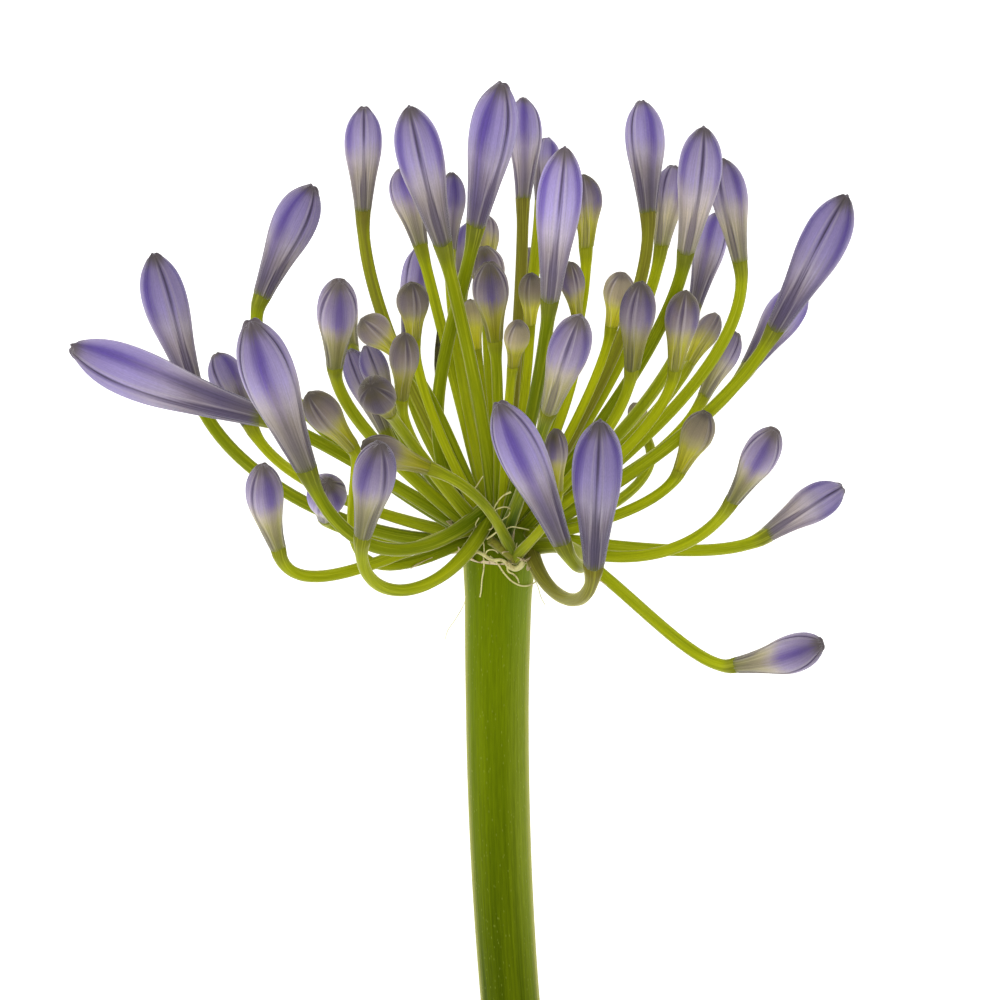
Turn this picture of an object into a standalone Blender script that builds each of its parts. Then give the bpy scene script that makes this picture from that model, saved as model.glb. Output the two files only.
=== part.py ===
"""Agapanthus flower head in bud, cut from its plant and lying on a surface.

A stout green scape ends in a small domed receptacle. Slender pedicels spring
from the dome in all directions, and each of them ends in a closed bud. The head
lies on the cut end of the scape and on two of the buds at its back.

X runs to the right, Y along the scape towards the crown and Z up. Metres.
"""

import math
from collections import namedtuple

import bmesh
import bpy
import numpy as np
from mathutils import Matrix, Vector

# Driving dimensions
SCAPE_WIDTH = 0.0110
SCAPE_REACH = 0.0985
SCAPE_TAPER = 0.94
SCAPE_LEAN = -0.035
SCAPE_CURVE = 0.65
RECEPTACLE_RADIUS = 0.0063
RECEPTACLE_RISE = 0.0046
UMBEL_CENTRE = Vector((0.0069, 0.0118, 0.0400))
PEDICEL_WIDTHS = (0.0015, 0.0022)
ROOT_SPREAD = np.array((0.0042, 0.0016, 0.0048))
ROOT_SWELL = 0.30
ROOT_REACH = 0.40
BUD_REACH = 0.20
ARCHED_REACH = 0.15
JOINT_GAP = 0.0003
CLEARANCE = 0.0007
SURFACE_CLEARANCE = 0.0012

# View from above that the places of the buds are read in
PIXEL = 0.00017
PICTURE_CENTRE = (500, 500)
UMBEL_PIXEL = (500, 540)
EYE_HEIGHT = 0.90
MM = 0.001

# Bud outline: stations along the bud and the radius there, as shares of length and half width
STATIONS = (0.0, 0.22, 0.42, 0.60, 0.76, 0.92, 1.0)
YOUNG_OUTLINE = (0.45, 0.55, 0.75, 1.0, 0.95, 0.53, 0.12)
RIPE_OUTLINE = (0.42, 0.62, 0.85, 1.0, 0.96, 0.60, 0.14)
SEAM_DEPTH = 0.09
PETALS = 3
RIPE_FROM = 0.65
GOLDEN_ANGLE = math.pi * (3 - math.sqrt(5))

# Scape outline: distance from the umbel's centre and radius, as shares of the scape's length and
# half width, then of the receptacle's radius and the scape's half width, then of the receptacle's
# rise and radius
SHAFT_OUTLINE = ((-1.0, SCAPE_TAPER), (-0.75, 0.95), (-0.50, 0.97), (-0.28, 0.99))
NECK_OUTLINE = ((-1.6, 1.04), (-0.8, 1.11))
DOME_OUTLINE = ((0.35, 0.94), (0.80, 0.62), (1.0, 0.20))
DOME_FOOT = -0.25

# Meshes
SCAPE_SIDES = 16
PEDICEL_SEGMENTS = 7
RIPE_STEPS = 4
YOUNG_STEPS = 3
RIPE_STALK_SIDES = 6
YOUNG_STALK_SIDES = 5

# Settling: places tested on each bud and stalk, and how buds that touch are moved apart
BUD_SHARES = np.linspace(0, 1, 8)
STALK_SHARES = np.linspace(0.3, 0.96, 8)
SETTLING_ROUNDS = 400
SETTLING_PACE = 0.6
LARGEST_MOVE = 0.002
TOUCHING = 0.00001

# Colours
GREEN = Vector((0.35, 0.40, 0.08))
VIOLET = Vector((0.25, 0.20, 0.42))
STEM_GREEN = Vector((0.16, 0.24, 0.03))
BUD_ROUGHNESS = 0.45
STEM_ROUGHNESS = 0.40

# The way of a pedicel that shows from end to end: its root and the handle that it makes for, each as
# a pixel and a rise over the umbel's centre in mm, and the share of its span that the handle at its
# bud reaches
Way = namedtuple("Way", "root handle reach")

# A bud as seen from above: tip and base in pixels, rises of base and tip over the umbel's centre and
# width in mm, ripeness from 0 (green) to 1 (violet), sideways bow of the bud in mm, how far its
# pedicel arches, how many degrees to the right of its upper side a seam lies, the way of its
# pedicel, and whether the head rests on it
FIELDS = "tip base rises width ripe bow arch seam way rests"
Bud = namedtuple("Bud", FIELDS, defaults=(0.0, 0.3, None, None, False))

LEFT_ARCH = Way((485, 509, 5), (421, 568, 19), 0.52)
LEFT_LOOP = Way((474, 536, 2), (296, 630, 10), 0.19)
LEFT_CREST = Way((514, 556, 4.4), (500, 526, 13), 0.35)
LOW_LOOP = Way((489, 516, 5), (446, 612, 18), 0.50)
FAR_LOOP = Way((480, 528, 2), (440, 526, 8), 0.40)
RIGHT_ARCH = Way((528, 532, 3), (602, 572, 12), 0.43)
RIGHT_SWEEP = Way((528, 536, 0), (610, 545, -2), 0.22)
LOW_SWEEP = Way((526, 528, 2), (598, 546, 8), 0.23)
HIDDEN_LOOP = Way((528, 548, 2), (604, 530, 17), 0.30)
FRONT_LOOP = Way((531, 551, 3), (545, 604, 16), 0.29)
FRONT_RISE = Way((514, 559, 4.2), (530, 540, 14), 0.25)

BUDS = (
    # Left side
    Bud((70, 346), (264, 417), (8, 4), 8.9, 1.0, bow=0.8, seam=-36),
    Bud((153, 253), (194, 388), (-6, -4), 7.9, 1.0, bow=0.4, arch=0.6, seam=14),
    Bud((313, 185), (262, 296), (5, 12), 7.7, 0.9, bow=0.3),
    Bud((250, 320), (306, 468), (35, 54), 9.0, 1.0, bow=0.4, seam=57, way=LEFT_ARCH),
    Bud((339, 280), (335, 365), (26, 42), 6.8, 0.8),
    Bud((216, 353), (250, 425), (-16, -20), 6.4, 0.5),
    Bud((308, 394), (352, 447), (20, 28), 6.0, 0.3, way=LEFT_LOOP),
    Bud((362, 319), (397, 352), (12, 16), 5.8, 0.4),
    Bud((405, 334), (402, 398), (26, 36), 5.1, 0.3),
    Bud((371, 386), (388, 411), (30, 44), 6.2, 0.5),
    Bud((380, 443), (363, 535), (36, 52), 7.1, 0.8, seam=35, way=LOW_LOOP),
    Bud((362, 444), (428, 468), (28, 34), 5.6, 0.4, way=LEFT_CREST),
    Bud((262, 464), (278, 548), (20, 30), 6.4, 0.7, bow=0.7, seam=-40, way=FAR_LOOP),
    Bud((327, 483), (325, 516), (-14, 2), 7.0, 0.8),
    # Crown
    Bud((364, 106), (363, 213), (-6, -6), 6.6, 0.9, seam=5),
    Bud((409, 106), (443, 244), (24, 36), 7.9, 1.0, bow=0.3, arch=1.7, seam=0),
    Bud((502, 82), (476, 226), (16, 28), 8.1, 1.0, bow=-0.1, arch=3.0, seam=33),
    Bud((523, 97), (523, 201), (-16, -18), 6.1, 0.8, bow=-0.3),
    Bud((565, 147), (550, 301), (34, 48), 7.5, 1.0, seam=0),
    Bud((547, 138), (541, 203), (-24, -30), 5.3, 0.7),
    Bud((583, 174), (586, 248), (8, 10), 5.7, 0.3, bow=-0.4),
    Bud((642, 100), (648, 215), (-12, -14), 7.0, 0.9, seam=-37),
    Bud((704, 127), (686, 252), (20, 32), 7.4, 1.0, bow=-0.3, seam=3),
    Bud((674, 165), (661, 248), (-16, -18), 6.1, 0.7, seam=-25),
    Bud((400, 168), (421, 247), (-8, -10), 6.2, 0.6),
    Bud((452, 172), (450, 252), (-4, -4), 5.0, 0.4),
    # Right side
    Bud((722, 158), (740, 263), (0, 2), 6.4, 0.8, seam=-25),
    Bud((847, 195), (775, 329), (14, 26), 8.0, 1.0, bow=-0.2, arch=0.5),
    Bud((804, 286), (747, 369), (-22, -28), 6.9, 0.9),
    Bud((775, 429), (733, 500), (26, 40), 6.1, 0.7, bow=-0.2, seam=60, way=RIGHT_ARCH),
    Bud((843, 487), (765, 536), (-6, -12), 6.6, 0.8, bow=0.2, seam=0, way=RIGHT_SWEEP),
    Bud((823, 643), (737, 665), (16, 28), 6.6, 0.8, bow=-0.4, way=LOW_SWEEP),
    Bud((622, 273), (612, 325), (14, 20), 5.4, 0.1),
    Bud((641, 282), (632, 369), (20, 30), 6.1, 0.5),
    Bud((686, 291), (675, 369), (12, 20), 5.9, 0.5),
    Bud((717, 314), (688, 366), (-18, -24), 4.5, 0.4),
    Bud((737, 332), (703, 398), (-6, -8), 5.0, 0.4),
    Bud((707, 412), (680, 470), (6, 12), 5.7, 0.5),
    Bud((633, 403), (648, 441), (-24, -27), 3.6, 0.4),
    # Front
    Bud((498, 402), (562, 543), (42, 58), 7.8, 1.0, bow=-0.3, seam=44, way=HIDDEN_LOOP),
    Bud((600, 421), (594, 566), (40, 58), 8.3, 1.0, seam=0, way=FRONT_LOOP),
    Bud((580, 316), (549, 411), (36, 52), 6.9, 0.8),
    # Middle
    Bud((412, 283), (414, 338), (16, 22), 5.6, 0.3),
    Bud((484, 246), (492, 310), (8, 12), 6.0, 0.4, seam=60),
    Bud((489, 262), (495, 340), (20, 28), 6.2, 0.5, seam=60),
    Bud((470, 299), (477, 352), (-10, -12), 4.1, 0.2),
    Bud((519, 321), (513, 366), (22, 28), 4.4, 0.1),
    Bud((531, 273), (530, 325), (12, 16), 4.4, 0.2),
    Bud((532, 248), (523, 300), (-24, -29), 4.5, 0.5),
    Bud((570, 262), (578, 320), (14, 20), 4.3, 0.2),
    Bud((556, 429), (558, 490), (22, 30), 4.0, 0.2, way=FRONT_RISE),
    # Back
    Bud((718, 212), (694, 309), (-24, -31), 5.8, 0.9, rests=True),
    Bud((334, 288), (352, 350), (-26, -32), 6.2, 0.7, rests=True),
    Bud((419, 247), (407, 345), (-22, -28), 5.3, 0.9),
    Bud((349, 349), (386, 433), (-19, -21), 5.8, 0.9),
    Bud((366, 345), (391, 410), (-10, -12), 5.0, 0.8),
    Bud((471, 222), (462, 292), (-27, -32), 5.3, 0.8),
    Bud((485, 215), (486, 275), (-20, -24), 5.2, 0.5),
    Bud((560, 330), (545, 420), (-30, -33), 6.2, 0.9),
)


def clear_scene():
    """Removes whatever the open scene holds."""
    for thing in list(bpy.data.objects):
        bpy.data.objects.remove(thing, do_unlink=True)


def seen(pixel):
    """Place of a pixel at the height of the umbel's centre, from the point under the eye."""
    return np.array((pixel[0] - PICTURE_CENTRE[0], PICTURE_CENTRE[1] - pixel[1])) * PIXEL


def places(seen_places, rises):
    """Points over the umbel's centre that are seen at the given places and have the given rises."""
    nearer = (1 - rises / EYE_HEIGHT)[..., None]
    offsets = seen_places * nearer - seen(UMBEL_PIXEL)
    return np.concatenate((offsets, rises[..., None]), axis=-1)


def bud_radius(along, width, ripe):
    """Radius of a bud at a share of its length."""
    young = np.interp(along, STATIONS, YOUNG_OUTLINE)
    grown = np.interp(along, STATIONS, RIPE_OUTLINE)
    return width / 2 * (young * (1 - ripe) + grown * ripe)


def unit(vectors):
    """Vectors of the same directions and of length 1."""
    return vectors / np.linalg.norm(vectors, axis=-1, keepdims=True)


def pedicel_handles(base, tip, bud):
    """The four control points of a pedicel, along its way or else bowed away from its bud."""
    axis = unit(tip - base)
    end = base - JOINT_GAP * axis
    if bud.way is not None:
        root, first = (places(seen(spot[:2]), np.float64(spot[2] * MM)) for spot in bud.way[:2])
        return root, first, end - bud.way.reach * np.linalg.norm(end - root) * axis, end
    chord = unit(base)
    along = axis @ chord
    across = axis - along * chord
    lean = np.linalg.norm(across)
    turn = bud.arch * math.atan2(lean, along)
    leaving = math.cos(turn) * chord - math.sin(turn) * across / max(lean, TOUCHING)
    root = ROOT_SPREAD * leaving
    span = np.linalg.norm(end - root)
    reach = BUD_REACH + ARCHED_REACH * min(bud.arch, 1)
    return root, root + ROOT_REACH * span * leaving, end - reach * span * axis, end


def bud_bow(base, tip, bow):
    """Level vector by which the middle of a bud bows to the left of its way from base to tip."""
    axis = tip - base
    left = np.stack((-axis[..., 1], axis[..., 0], 0 * axis[..., 2]), axis=-1)
    return bow * MM * unit(left)


def arc_share(along):
    """Share of its bow that a bud has at a share of its length."""
    return 4 * along * (1 - along)


def pedicel_points(handles, shares):
    """Points at the given shares of a pedicel's curve."""
    root, first, second, end = handles
    share = np.asarray(shares)[:, None]
    rest = 1 - share
    return root * rest**3 + 3 * first * rest**2 * share + 3 * second * rest * share**2 + end * share**3


def settle(buds):
    """Base and tip of every bud, with those that would touch moved apart in height."""
    seen_base = np.array([seen(bud.base) for bud in buds])
    seen_tip = np.array([seen(bud.tip) for bud in buds])
    rises = np.array([bud.rises for bud in buds]) * MM
    widths = np.array([bud.width for bud in buds])[:, None] * MM
    ripeness = np.array([bud.ripe for bud in buds])[:, None]
    bows = np.array([bud.bow for bud in buds])[:, None]
    fixed = np.array([bud.rests for bud in buds])
    for index in np.flatnonzero(fixed):
        rises[index] += seating_shift(buds[index], index, rises[index])

    count = len(buds)
    size = len(BUD_SHARES) + len(STALK_SHARES)
    bud_radii = bud_radius(BUD_SHARES[None, :], widths, ripeness)
    stalk_radii = np.repeat(pedicel_width(ripeness) / 2, len(STALK_SHARES), axis=1)
    radii = np.concatenate((bud_radii, stalk_radii), axis=1)
    needed = radii[:, :, None, None] + radii[None, None] + CLEARANCE
    is_stalk = np.arange(size) >= len(BUD_SHARES)
    ignored = is_stalk[None, :, None, None] & is_stalk[None, None, None, :]
    ignored = ignored | np.eye(count, dtype=bool)[:, None, :, None]
    shares = np.concatenate((BUD_SHARES, STALK_SHARES))
    on_base = np.where(is_stalk, shares, 1 - shares)
    on_tip = np.where(is_stalk, 0, shares)
    floor = -UMBEL_CENTRE.z + SURFACE_CLEARANCE

    for _ in range(SETTLING_ROUNDS):
        base = places(seen_base, rises[:, 0])
        tip = places(seen_tip, rises[:, 1])
        on_bud = base[:, None] + BUD_SHARES[None, :, None] * (tip - base)[:, None]
        on_bud += bud_bow(base, tip, bows)[:, None] * arc_share(BUD_SHARES)[None, :, None]
        handles = [pedicel_handles(*ends) for ends in zip(base, tip, buds)]
        on_stalk = np.array([pedicel_points(four, STALK_SHARES) for four in handles])
        points = np.concatenate((on_bud, on_stalk), axis=1)
        between = points[:, :, None, None] - points[None, None]
        across = between[..., 0] ** 2 + between[..., 1] ** 2
        lift = np.sqrt(np.maximum(needed**2 - across, 0)) - np.abs(between[..., 2])
        lift = np.where(ignored, -1, lift)
        worst = lift.transpose(0, 2, 1, 3).reshape(count, count, -1)
        which = worst.argmax(axis=-1)
        amount = np.maximum(worst.max(axis=-1), 0)
        moves = np.zeros_like(rises)
        for first, second in np.argwhere(amount > TOUCHING):
            mine, other = divmod(which[first, second], size)
            upward = 1 if between[first, mine, second, other, 2] >= 0 else -1
            share = 1.0 if fixed[second] else 0.5
            weight = np.array((on_base[mine], on_tip[mine]))
            moves[first] += upward * share * amount[first, second] * weight / (weight @ weight)
        low = floor - (points[..., 2] - radii).min(axis=1)
        moves += np.maximum(low, 0)[:, None]
        moves[fixed] = 0
        if not moves.any():
            break
        rises += SETTLING_PACE * np.clip(moves, -LARGEST_MOVE, LARGEST_MOVE)
    return places(seen_base, rises[:, 0]), places(seen_tip, rises[:, 1])


def pedicel_width(ripe):
    """Width of a pedicel, which thickens as its bud ripens."""
    young, grown = PEDICEL_WIDTHS
    return young + (grown - young) * ripe


def seating_shift(bud, index, rises):
    """How far a bud moves in height to rest on the surface, as a change of both its rises."""
    shift = 0.0
    for _ in range(3):
        base = places(seen(bud.base), rises[0] + shift)
        tip = places(seen(bud.tip), rises[1] + shift)
        turned = bud_frame(base, tip, bud.seam, index)
        length = np.linalg.norm(tip - base)
        bow = turned.inverted().to_3x3() @ Vector(bud_bow(base, tip, bud.bow))
        rings = bud_rings(length, bud, bow)
        lowest = min((turned @ point).z for ring in rings for point in ring)
        shift -= lowest + UMBEL_CENTRE.z
    return shift


def bud_frame(base, tip, seam, index):
    """Matrix that stands a bud on its base, with its seams turned as given or else by its number."""
    axis = Vector(tip - base).normalized()
    upper = (Vector((0, 0, 1)) - axis.z * axis).normalized()
    turn = index * GOLDEN_ANGLE if seam is None else math.radians(seam)
    lean = Matrix((upper, axis.cross(upper), axis)).transposed().to_4x4()
    return Matrix.Translation(Vector(base)) @ lean @ Matrix.Rotation(turn, 4, "Z")


def bud_rings(length, bud, bow):
    """Rings of a bud along +Z, with three petals that meet in sunken seams."""
    steps = RIPE_STEPS if bud.ripe >= RIPE_FROM else YOUNG_STEPS
    sides = PETALS * steps
    rings = []
    for station in STATIONS:
        radius = float(bud_radius(station, bud.width * MM, bud.ripe))
        ring = []
        for step in range(sides):
            sunk = SEAM_DEPTH * math.sin(math.pi * station) if step % steps == 0 else 0
            angle = 2 * math.pi * step / sides
            out = radius * (1 - sunk)
            point = Vector((out * math.cos(angle), out * math.sin(angle), length * station))
            ring.append(point + arc_share(station) * bow)
        rings.append(ring)
    return rings


def skin_rings(name, rings):
    """Closed object through rings of equal count, with flat caps on its two ends."""
    shape = bmesh.new()
    loops = [[shape.verts.new(point) for point in ring] for ring in rings]
    sides = len(loops[0])
    for lower, upper in zip(loops, loops[1:]):
        for step in range(sides):
            after = (step + 1) % sides
            shape.faces.new((lower[step], lower[after], upper[after], upper[step]))
    shape.faces.new(list(reversed(loops[0])))
    shape.faces.new(loops[-1])
    for face in shape.faces:
        face.smooth = len(face.verts) == 4
    mesh = bpy.data.meshes.new(name)
    shape.to_mesh(mesh)
    shape.free()
    body = bpy.data.objects.new(name, mesh)
    bpy.context.scene.collection.objects.link(body)
    return body


def tube_rings(points, radii, sides, last_way):
    """Rings square to a curve through the points, turned as little as the curve allows."""
    spine = [Vector(point) for point in points]
    rings = []
    side = None
    for index, (point, radius) in enumerate(zip(spine, radii)):
        if index == len(spine) - 1:
            along = last_way
        else:
            along = (spine[index + 1] - spine[max(index - 1, 0)]).normalized()
        side = along.orthogonal() if side is None else side - side.dot(along) * along
        side.normalize()
        other = along.cross(side)
        angles = [2 * math.pi * step / sides for step in range(sides)]
        rings.append([point + radius * (math.cos(a) * side + math.sin(a) * other) for a in angles])
    return rings


def paint(body, colour, roughness):
    """Gives an object a plain material of its own."""
    material = bpy.data.materials.new(body.name)
    material.use_nodes = True
    shader = material.node_tree.nodes["Principled BSDF"]
    shader.inputs["Base Color"].default_value = (*colour, 1.0)
    shader.inputs["Roughness"].default_value = roughness
    shader.inputs["Metallic"].default_value = 0.0
    body.data.materials.clear()
    body.data.materials.append(material)


def make_scape_body():
    """Flower stem that slopes from the umbel's centre to its cut end, with the domed receptacle."""
    radius = SCAPE_WIDTH / 2
    end_radius = radius * SCAPE_TAPER
    flat_radius = end_radius * math.cos(math.pi / SCAPE_SIDES)
    fall = UMBEL_CENTRE.z - flat_radius
    for _ in range(4):
        slope = math.atan2(fall, SCAPE_REACH)
        fall = UMBEL_CENTRE.z - flat_radius * math.cos(slope)
    length = SCAPE_REACH / math.cos(slope)
    dome = RECEPTACLE_RADIUS
    outline = [(length * along, radius * out) for along, out in SHAFT_OUTLINE]
    outline += [(dome * along, radius * out) for along, out in NECK_OUTLINE]
    outline += [(dome * DOME_FOOT, dome)]
    outline += [(RECEPTACLE_RISE * along, dome * out) for along, out in DOME_OUTLINE]
    rings = []
    for along, out in outline:
        angles = [2 * math.pi * (step + 0.5) / SCAPE_SIDES for step in range(SCAPE_SIDES)]
        down = max(-along, 0)
        aside = SCAPE_CURVE * down**2 + SCAPE_LEAN * down
        rings.append([Vector((aside + out * math.sin(a), along, out * math.cos(a))) for a in angles])
    body = skin_rings("scape", rings)
    turned = Matrix.Rotation(slope, 4, "X")
    body.data.transform(Matrix.Translation(UMBEL_CENTRE) @ turned)
    return body


def make_pedicel(name, base, tip, bud):
    """Stalk from the dome to just short of its bud, widened at its end into the bud's foot."""
    shares = np.linspace(0, 1, PEDICEL_SEGMENTS + 1)
    points = pedicel_points(pedicel_handles(base, tip, bud), shares)
    radius = pedicel_width(bud.ripe) / 2
    foot = float(bud_radius(0.0, bud.width * MM, bud.ripe))
    radii = [radius * (1 + ROOT_SWELL * max(1 - 3 * float(share), 0)) for share in shares]
    radii[-1] = max(foot, radius)
    sides = RIPE_STALK_SIDES if bud.ripe >= RIPE_FROM else YOUNG_STALK_SIDES
    body = skin_rings(name, tube_rings(points, radii, sides, Vector(unit(tip - base))))
    body.data.transform(Matrix.Translation(UMBEL_CENTRE))
    return body


def make_bud(name, base, tip, bud, index):
    """Closed flower bud that stands on its pedicel."""
    length = float(np.linalg.norm(tip - base))
    frame = bud_frame(base, tip, bud.seam, index)
    bow = frame.inverted().to_3x3() @ Vector(bud_bow(base, tip, bud.bow))
    body = skin_rings(name, bud_rings(length, bud, bow))
    body.matrix_world = Matrix.Translation(UMBEL_CENTRE) @ frame
    paint(body, GREEN.lerp(VIOLET, bud.ripe), BUD_ROUGHNESS)
    return body


def fuse(body, others):
    """Unites a body with all objects of a collection, which are then removed."""
    union = body.modifiers.new("Union", "BOOLEAN")
    union.operation = "UNION"
    union.solver = "EXACT"
    union.operand_type = "COLLECTION"
    union.collection = others
    bpy.context.view_layer.objects.active = body
    bpy.ops.object.modifier_apply(modifier=union.name)
    for piece in list(others.objects):
        bpy.data.objects.remove(piece, do_unlink=True)
    bpy.data.collections.remove(others)


def main():
    clear_scene()
    scape = make_scape_body()
    stalks = bpy.data.collections.new("Pedicels")
    bpy.context.scene.collection.children.link(stalks)
    bases, tips = settle(BUDS)
    for index, (bud, base, tip) in enumerate(zip(BUDS, bases, tips)):
        make_bud(f"bud_{index + 1:02d}", base, tip, bud, index)
        stalk = make_pedicel(f"pedicel_{index + 1:02d}", base, tip, bud)
        bpy.context.scene.collection.objects.unlink(stalk)
        stalks.objects.link(stalk)
    fuse(scape, stalks)
    paint(scape, STEM_GREEN, STEM_ROUGHNESS)


main()
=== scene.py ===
"""Looks of an agapanthus flower head in bud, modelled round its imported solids.

The head lies on a pale floor and is seen from above. Petal skins, stalks and the
flower stem take the place of the plain solids, and dry papery remains are added
where the stalks leave the stem. X runs to the right, Y along the stem towards the
crown and Z up. Metres.
"""

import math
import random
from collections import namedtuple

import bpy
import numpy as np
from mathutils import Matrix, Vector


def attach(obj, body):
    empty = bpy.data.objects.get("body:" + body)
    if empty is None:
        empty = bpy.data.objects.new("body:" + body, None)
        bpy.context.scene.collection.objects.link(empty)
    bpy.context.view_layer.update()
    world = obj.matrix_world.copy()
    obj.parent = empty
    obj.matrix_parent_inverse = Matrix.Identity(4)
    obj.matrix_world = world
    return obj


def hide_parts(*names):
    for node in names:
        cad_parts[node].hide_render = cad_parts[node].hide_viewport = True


bl_info = {
    "name": "Agapanthus Flower Head",
    "version": (1, 0, 0),
    "blender": (4, 5, 0),
    "location": "3D View > Sidebar > Flower Head",
    "description": "Models the petals, stalks, stem and dry remains of a flower head in bud",
    "category": "Object",
}

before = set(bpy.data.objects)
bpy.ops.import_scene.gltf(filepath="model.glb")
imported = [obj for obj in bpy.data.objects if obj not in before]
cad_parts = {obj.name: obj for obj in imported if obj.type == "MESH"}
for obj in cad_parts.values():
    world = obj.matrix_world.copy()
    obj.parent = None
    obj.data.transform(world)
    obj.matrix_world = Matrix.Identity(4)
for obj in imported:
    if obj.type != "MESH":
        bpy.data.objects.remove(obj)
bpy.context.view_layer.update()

MM = 0.001
BODY = "root"

# The view from above, as in the part's source
PIXEL = 0.00017
PICTURE_CENTRE = (500, 500)
UMBEL_PIXEL = (500, 540)
EYE_HEIGHT = 0.90
UMBEL_CENTRE = Vector((0.0069, 0.0118, 0.0400))

# Stem and stalks, as in the part's source
SCAPE_WIDTH = 0.0110
SCAPE_REACH = 0.0985
SCAPE_TAPER = 0.94
SCAPE_LEAN = -0.035
SCAPE_CURVE = 0.65
SCAPE_SIDES = 16
RECEPTACLE_RADIUS = 0.0063
RECEPTACLE_RISE = 0.0046
PEDICEL_WIDTHS = (0.0015, 0.0022)
ROOT_SPREAD = np.array((0.0042, 0.0016, 0.0048))
ROOT_SWELL = 0.30
ROOT_REACH = 0.40
BUD_REACH = 0.20
ARCHED_REACH = 0.15
JOINT_GAP = 0.0003
# How far a stalk runs into the foot of its bud
STALK_SEAT = 0.0005
USUAL_ARCH = 0.3
ARCHES = {2: 0.6, 16: 1.7, 17: 3.0, 28: 0.5}

# The ways of the stalks that show from end to end, by bud, as in the part's source
Way = namedtuple("Way", "root handle reach")
WAYS = {
    4: Way((485, 509, 5), (421, 568, 19), 0.52),
    7: Way((474, 536, 2), (296, 630, 10), 0.19),
    11: Way((489, 516, 5), (446, 612, 18), 0.50),
    12: Way((514, 556, 4.4), (500, 526, 13), 0.35),
    13: Way((480, 528, 2), (440, 526, 8), 0.40),
    30: Way((528, 532, 3), (602, 572, 12), 0.43),
    31: Way((528, 536, 0), (610, 545, -2), 0.22),
    32: Way((526, 528, 2), (598, 546, 8), 0.23),
    40: Way((528, 548, 2), (604, 530, 17), 0.30),
    41: Way((531, 551, 3), (545, 604, 16), 0.29),
    51: Way((514, 559, 4.2), (530, 540, 14), 0.25),
}

# Buds, as in the part's source
BUD_COUNT = 59
RING_COUNT = 7
WIDEST_RING = 3
WIDEST_SHARE = 0.60
LOWER_RING = 1
LOWER_WIDTHS = (0.55, 0.62)
RIPE_FROM = 0.65
PETALS = 3

# How far the cream band of a ripe bud shows, by bud, where it differs from the usual
USUAL_PALE = 0.55
PALE = {
    1: 0.12, 2: 0.30, 3: 0.15, 4: 0.75, 6: 0.1, 13: 0.4, 15: 0.75, 16: 0.55, 17: 0.10, 18: 0.40,
    19: 0.35, 22: 0.20, 23: 0.95, 24: 0.9, 26: 0.2, 27: 0.55, 28: 0.10, 29: 0.2, 31: 0.5, 32: 1.0,
    40: 0.25, 41: 0.15, 42: 0.5, 52: 0.2, 54: 0.2, 55: 0.2, 57: 0.2,
}

# How ripe a bud is coloured, by bud, where its colour runs ahead of its shape or behind it
AGES = {
    5: 0.68, 6: 0.85, 8: 0.3, 10: 0.35, 11: 0.72, 12: 0.3, 18: 0.95, 20: 1.0, 21: 0.5,
    24: 0.8, 25: 0.8, 26: 0.85, 29: 1.0, 31: 1.0, 34: 0.6, 36: 0.33, 37: 0.75, 38: 0.15, 39: 0.2,
    42: 0.7, 46: 0.1, 50: 0.4, 51: 0.4, 55: 0.78,
}

# Buds given painted light, and buds given painted shade, in their lower part and in their upper
# part
LIT_BELOW = (
    8, 13, 17, 18, 19, 21, 23, 24, 25, 26, 27, 31, 33, 35, 36, 37, 39, 42, 44, 46, 48, 50, 51, 55,
    58,
)
SHADED_BELOW = (4, 6, 9, 11, 12, 20, 34, 38, 41, 47, 49, 54, 56)
LIT_ABOVE = (5, 8, 13, 14, 19, 25, 30, 33, 35, 42, 44, 46, 47, 50, 51, 58)
SHADED_ABOVE = (2, 3, 6, 10, 12, 20, 26, 28, 31, 38, 41, 43, 48, 55, 56, 57)
LIT_TONE = 1.28
SHADED_TONE = 0.80

Bud = namedtuple("Bud", "number base tip bow seam half_width ripe")


# Settings that a user would change


def shown(red, green, blue):
    """Linear colour of a display colour from 0 to 255."""
    shares = (red / 255, green / 255, blue / 255)
    return tuple(s / 12.92 if s <= 0.04045 else ((s + 0.055) / 1.055) ** 2.4 for s in shares)


def colour_property(name, description, red, green, blue):
    """A colour setting whose default is given as it shows on a display, from 0 to 255."""
    return bpy.props.FloatVectorProperty(
        name=name, description=description, default=shown(red, green, blue),
        subtype="COLOR", size=3, min=0.0, max=1.0,
    )


def number_property(name, description, default, low, high, **kind):
    """A number setting with its range and, where one fits, its subtype and unit."""
    return bpy.props.FloatProperty(
        name=name, description=description, default=default, min=low, max=high, **kind
    )


class PetalSettings(bpy.types.PropertyGroup):
    """Colours and relief of the closed buds."""

    violet: colour_property("Violet", "Midribs of the ripe petals", 110, 91, 168)
    lavender: colour_property("Lavender", "Flanks of the ripe petals", 168, 154, 206)
    cream: colour_property("Cream", "Pale band below the middle of a bud", 198, 185, 168)
    mauve: colour_property("Mauve", "Foot of a ripe bud", 100, 89, 124)
    seam: colour_property("Seam", "Dark lines where the petals meet", 74, 64, 88)
    beak: colour_property("Beak", "Grey olive tips of the petals", 98, 90, 84)
    lime: colour_property("Lime", "Foot of the youngest buds", 184, 182, 36)
    straw: colour_property("Straw", "Middle of the young buds", 184, 179, 64)
    dusk: colour_property("Dusk", "Head of the young buds", 118, 106, 117)
    young_joint: colour_property("Young joint", "Where a young bud meets its stalk", 156, 160, 18)
    ripe_joint: colour_property("Ripe joint", "Where a ripe bud meets its stalk", 112, 116, 38)
    groove: number_property(
        "Groove", "Depth of the seams as a share of the bud's half width",
        0.07, 0.0, 0.2, subtype="FACTOR",
    )


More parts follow.
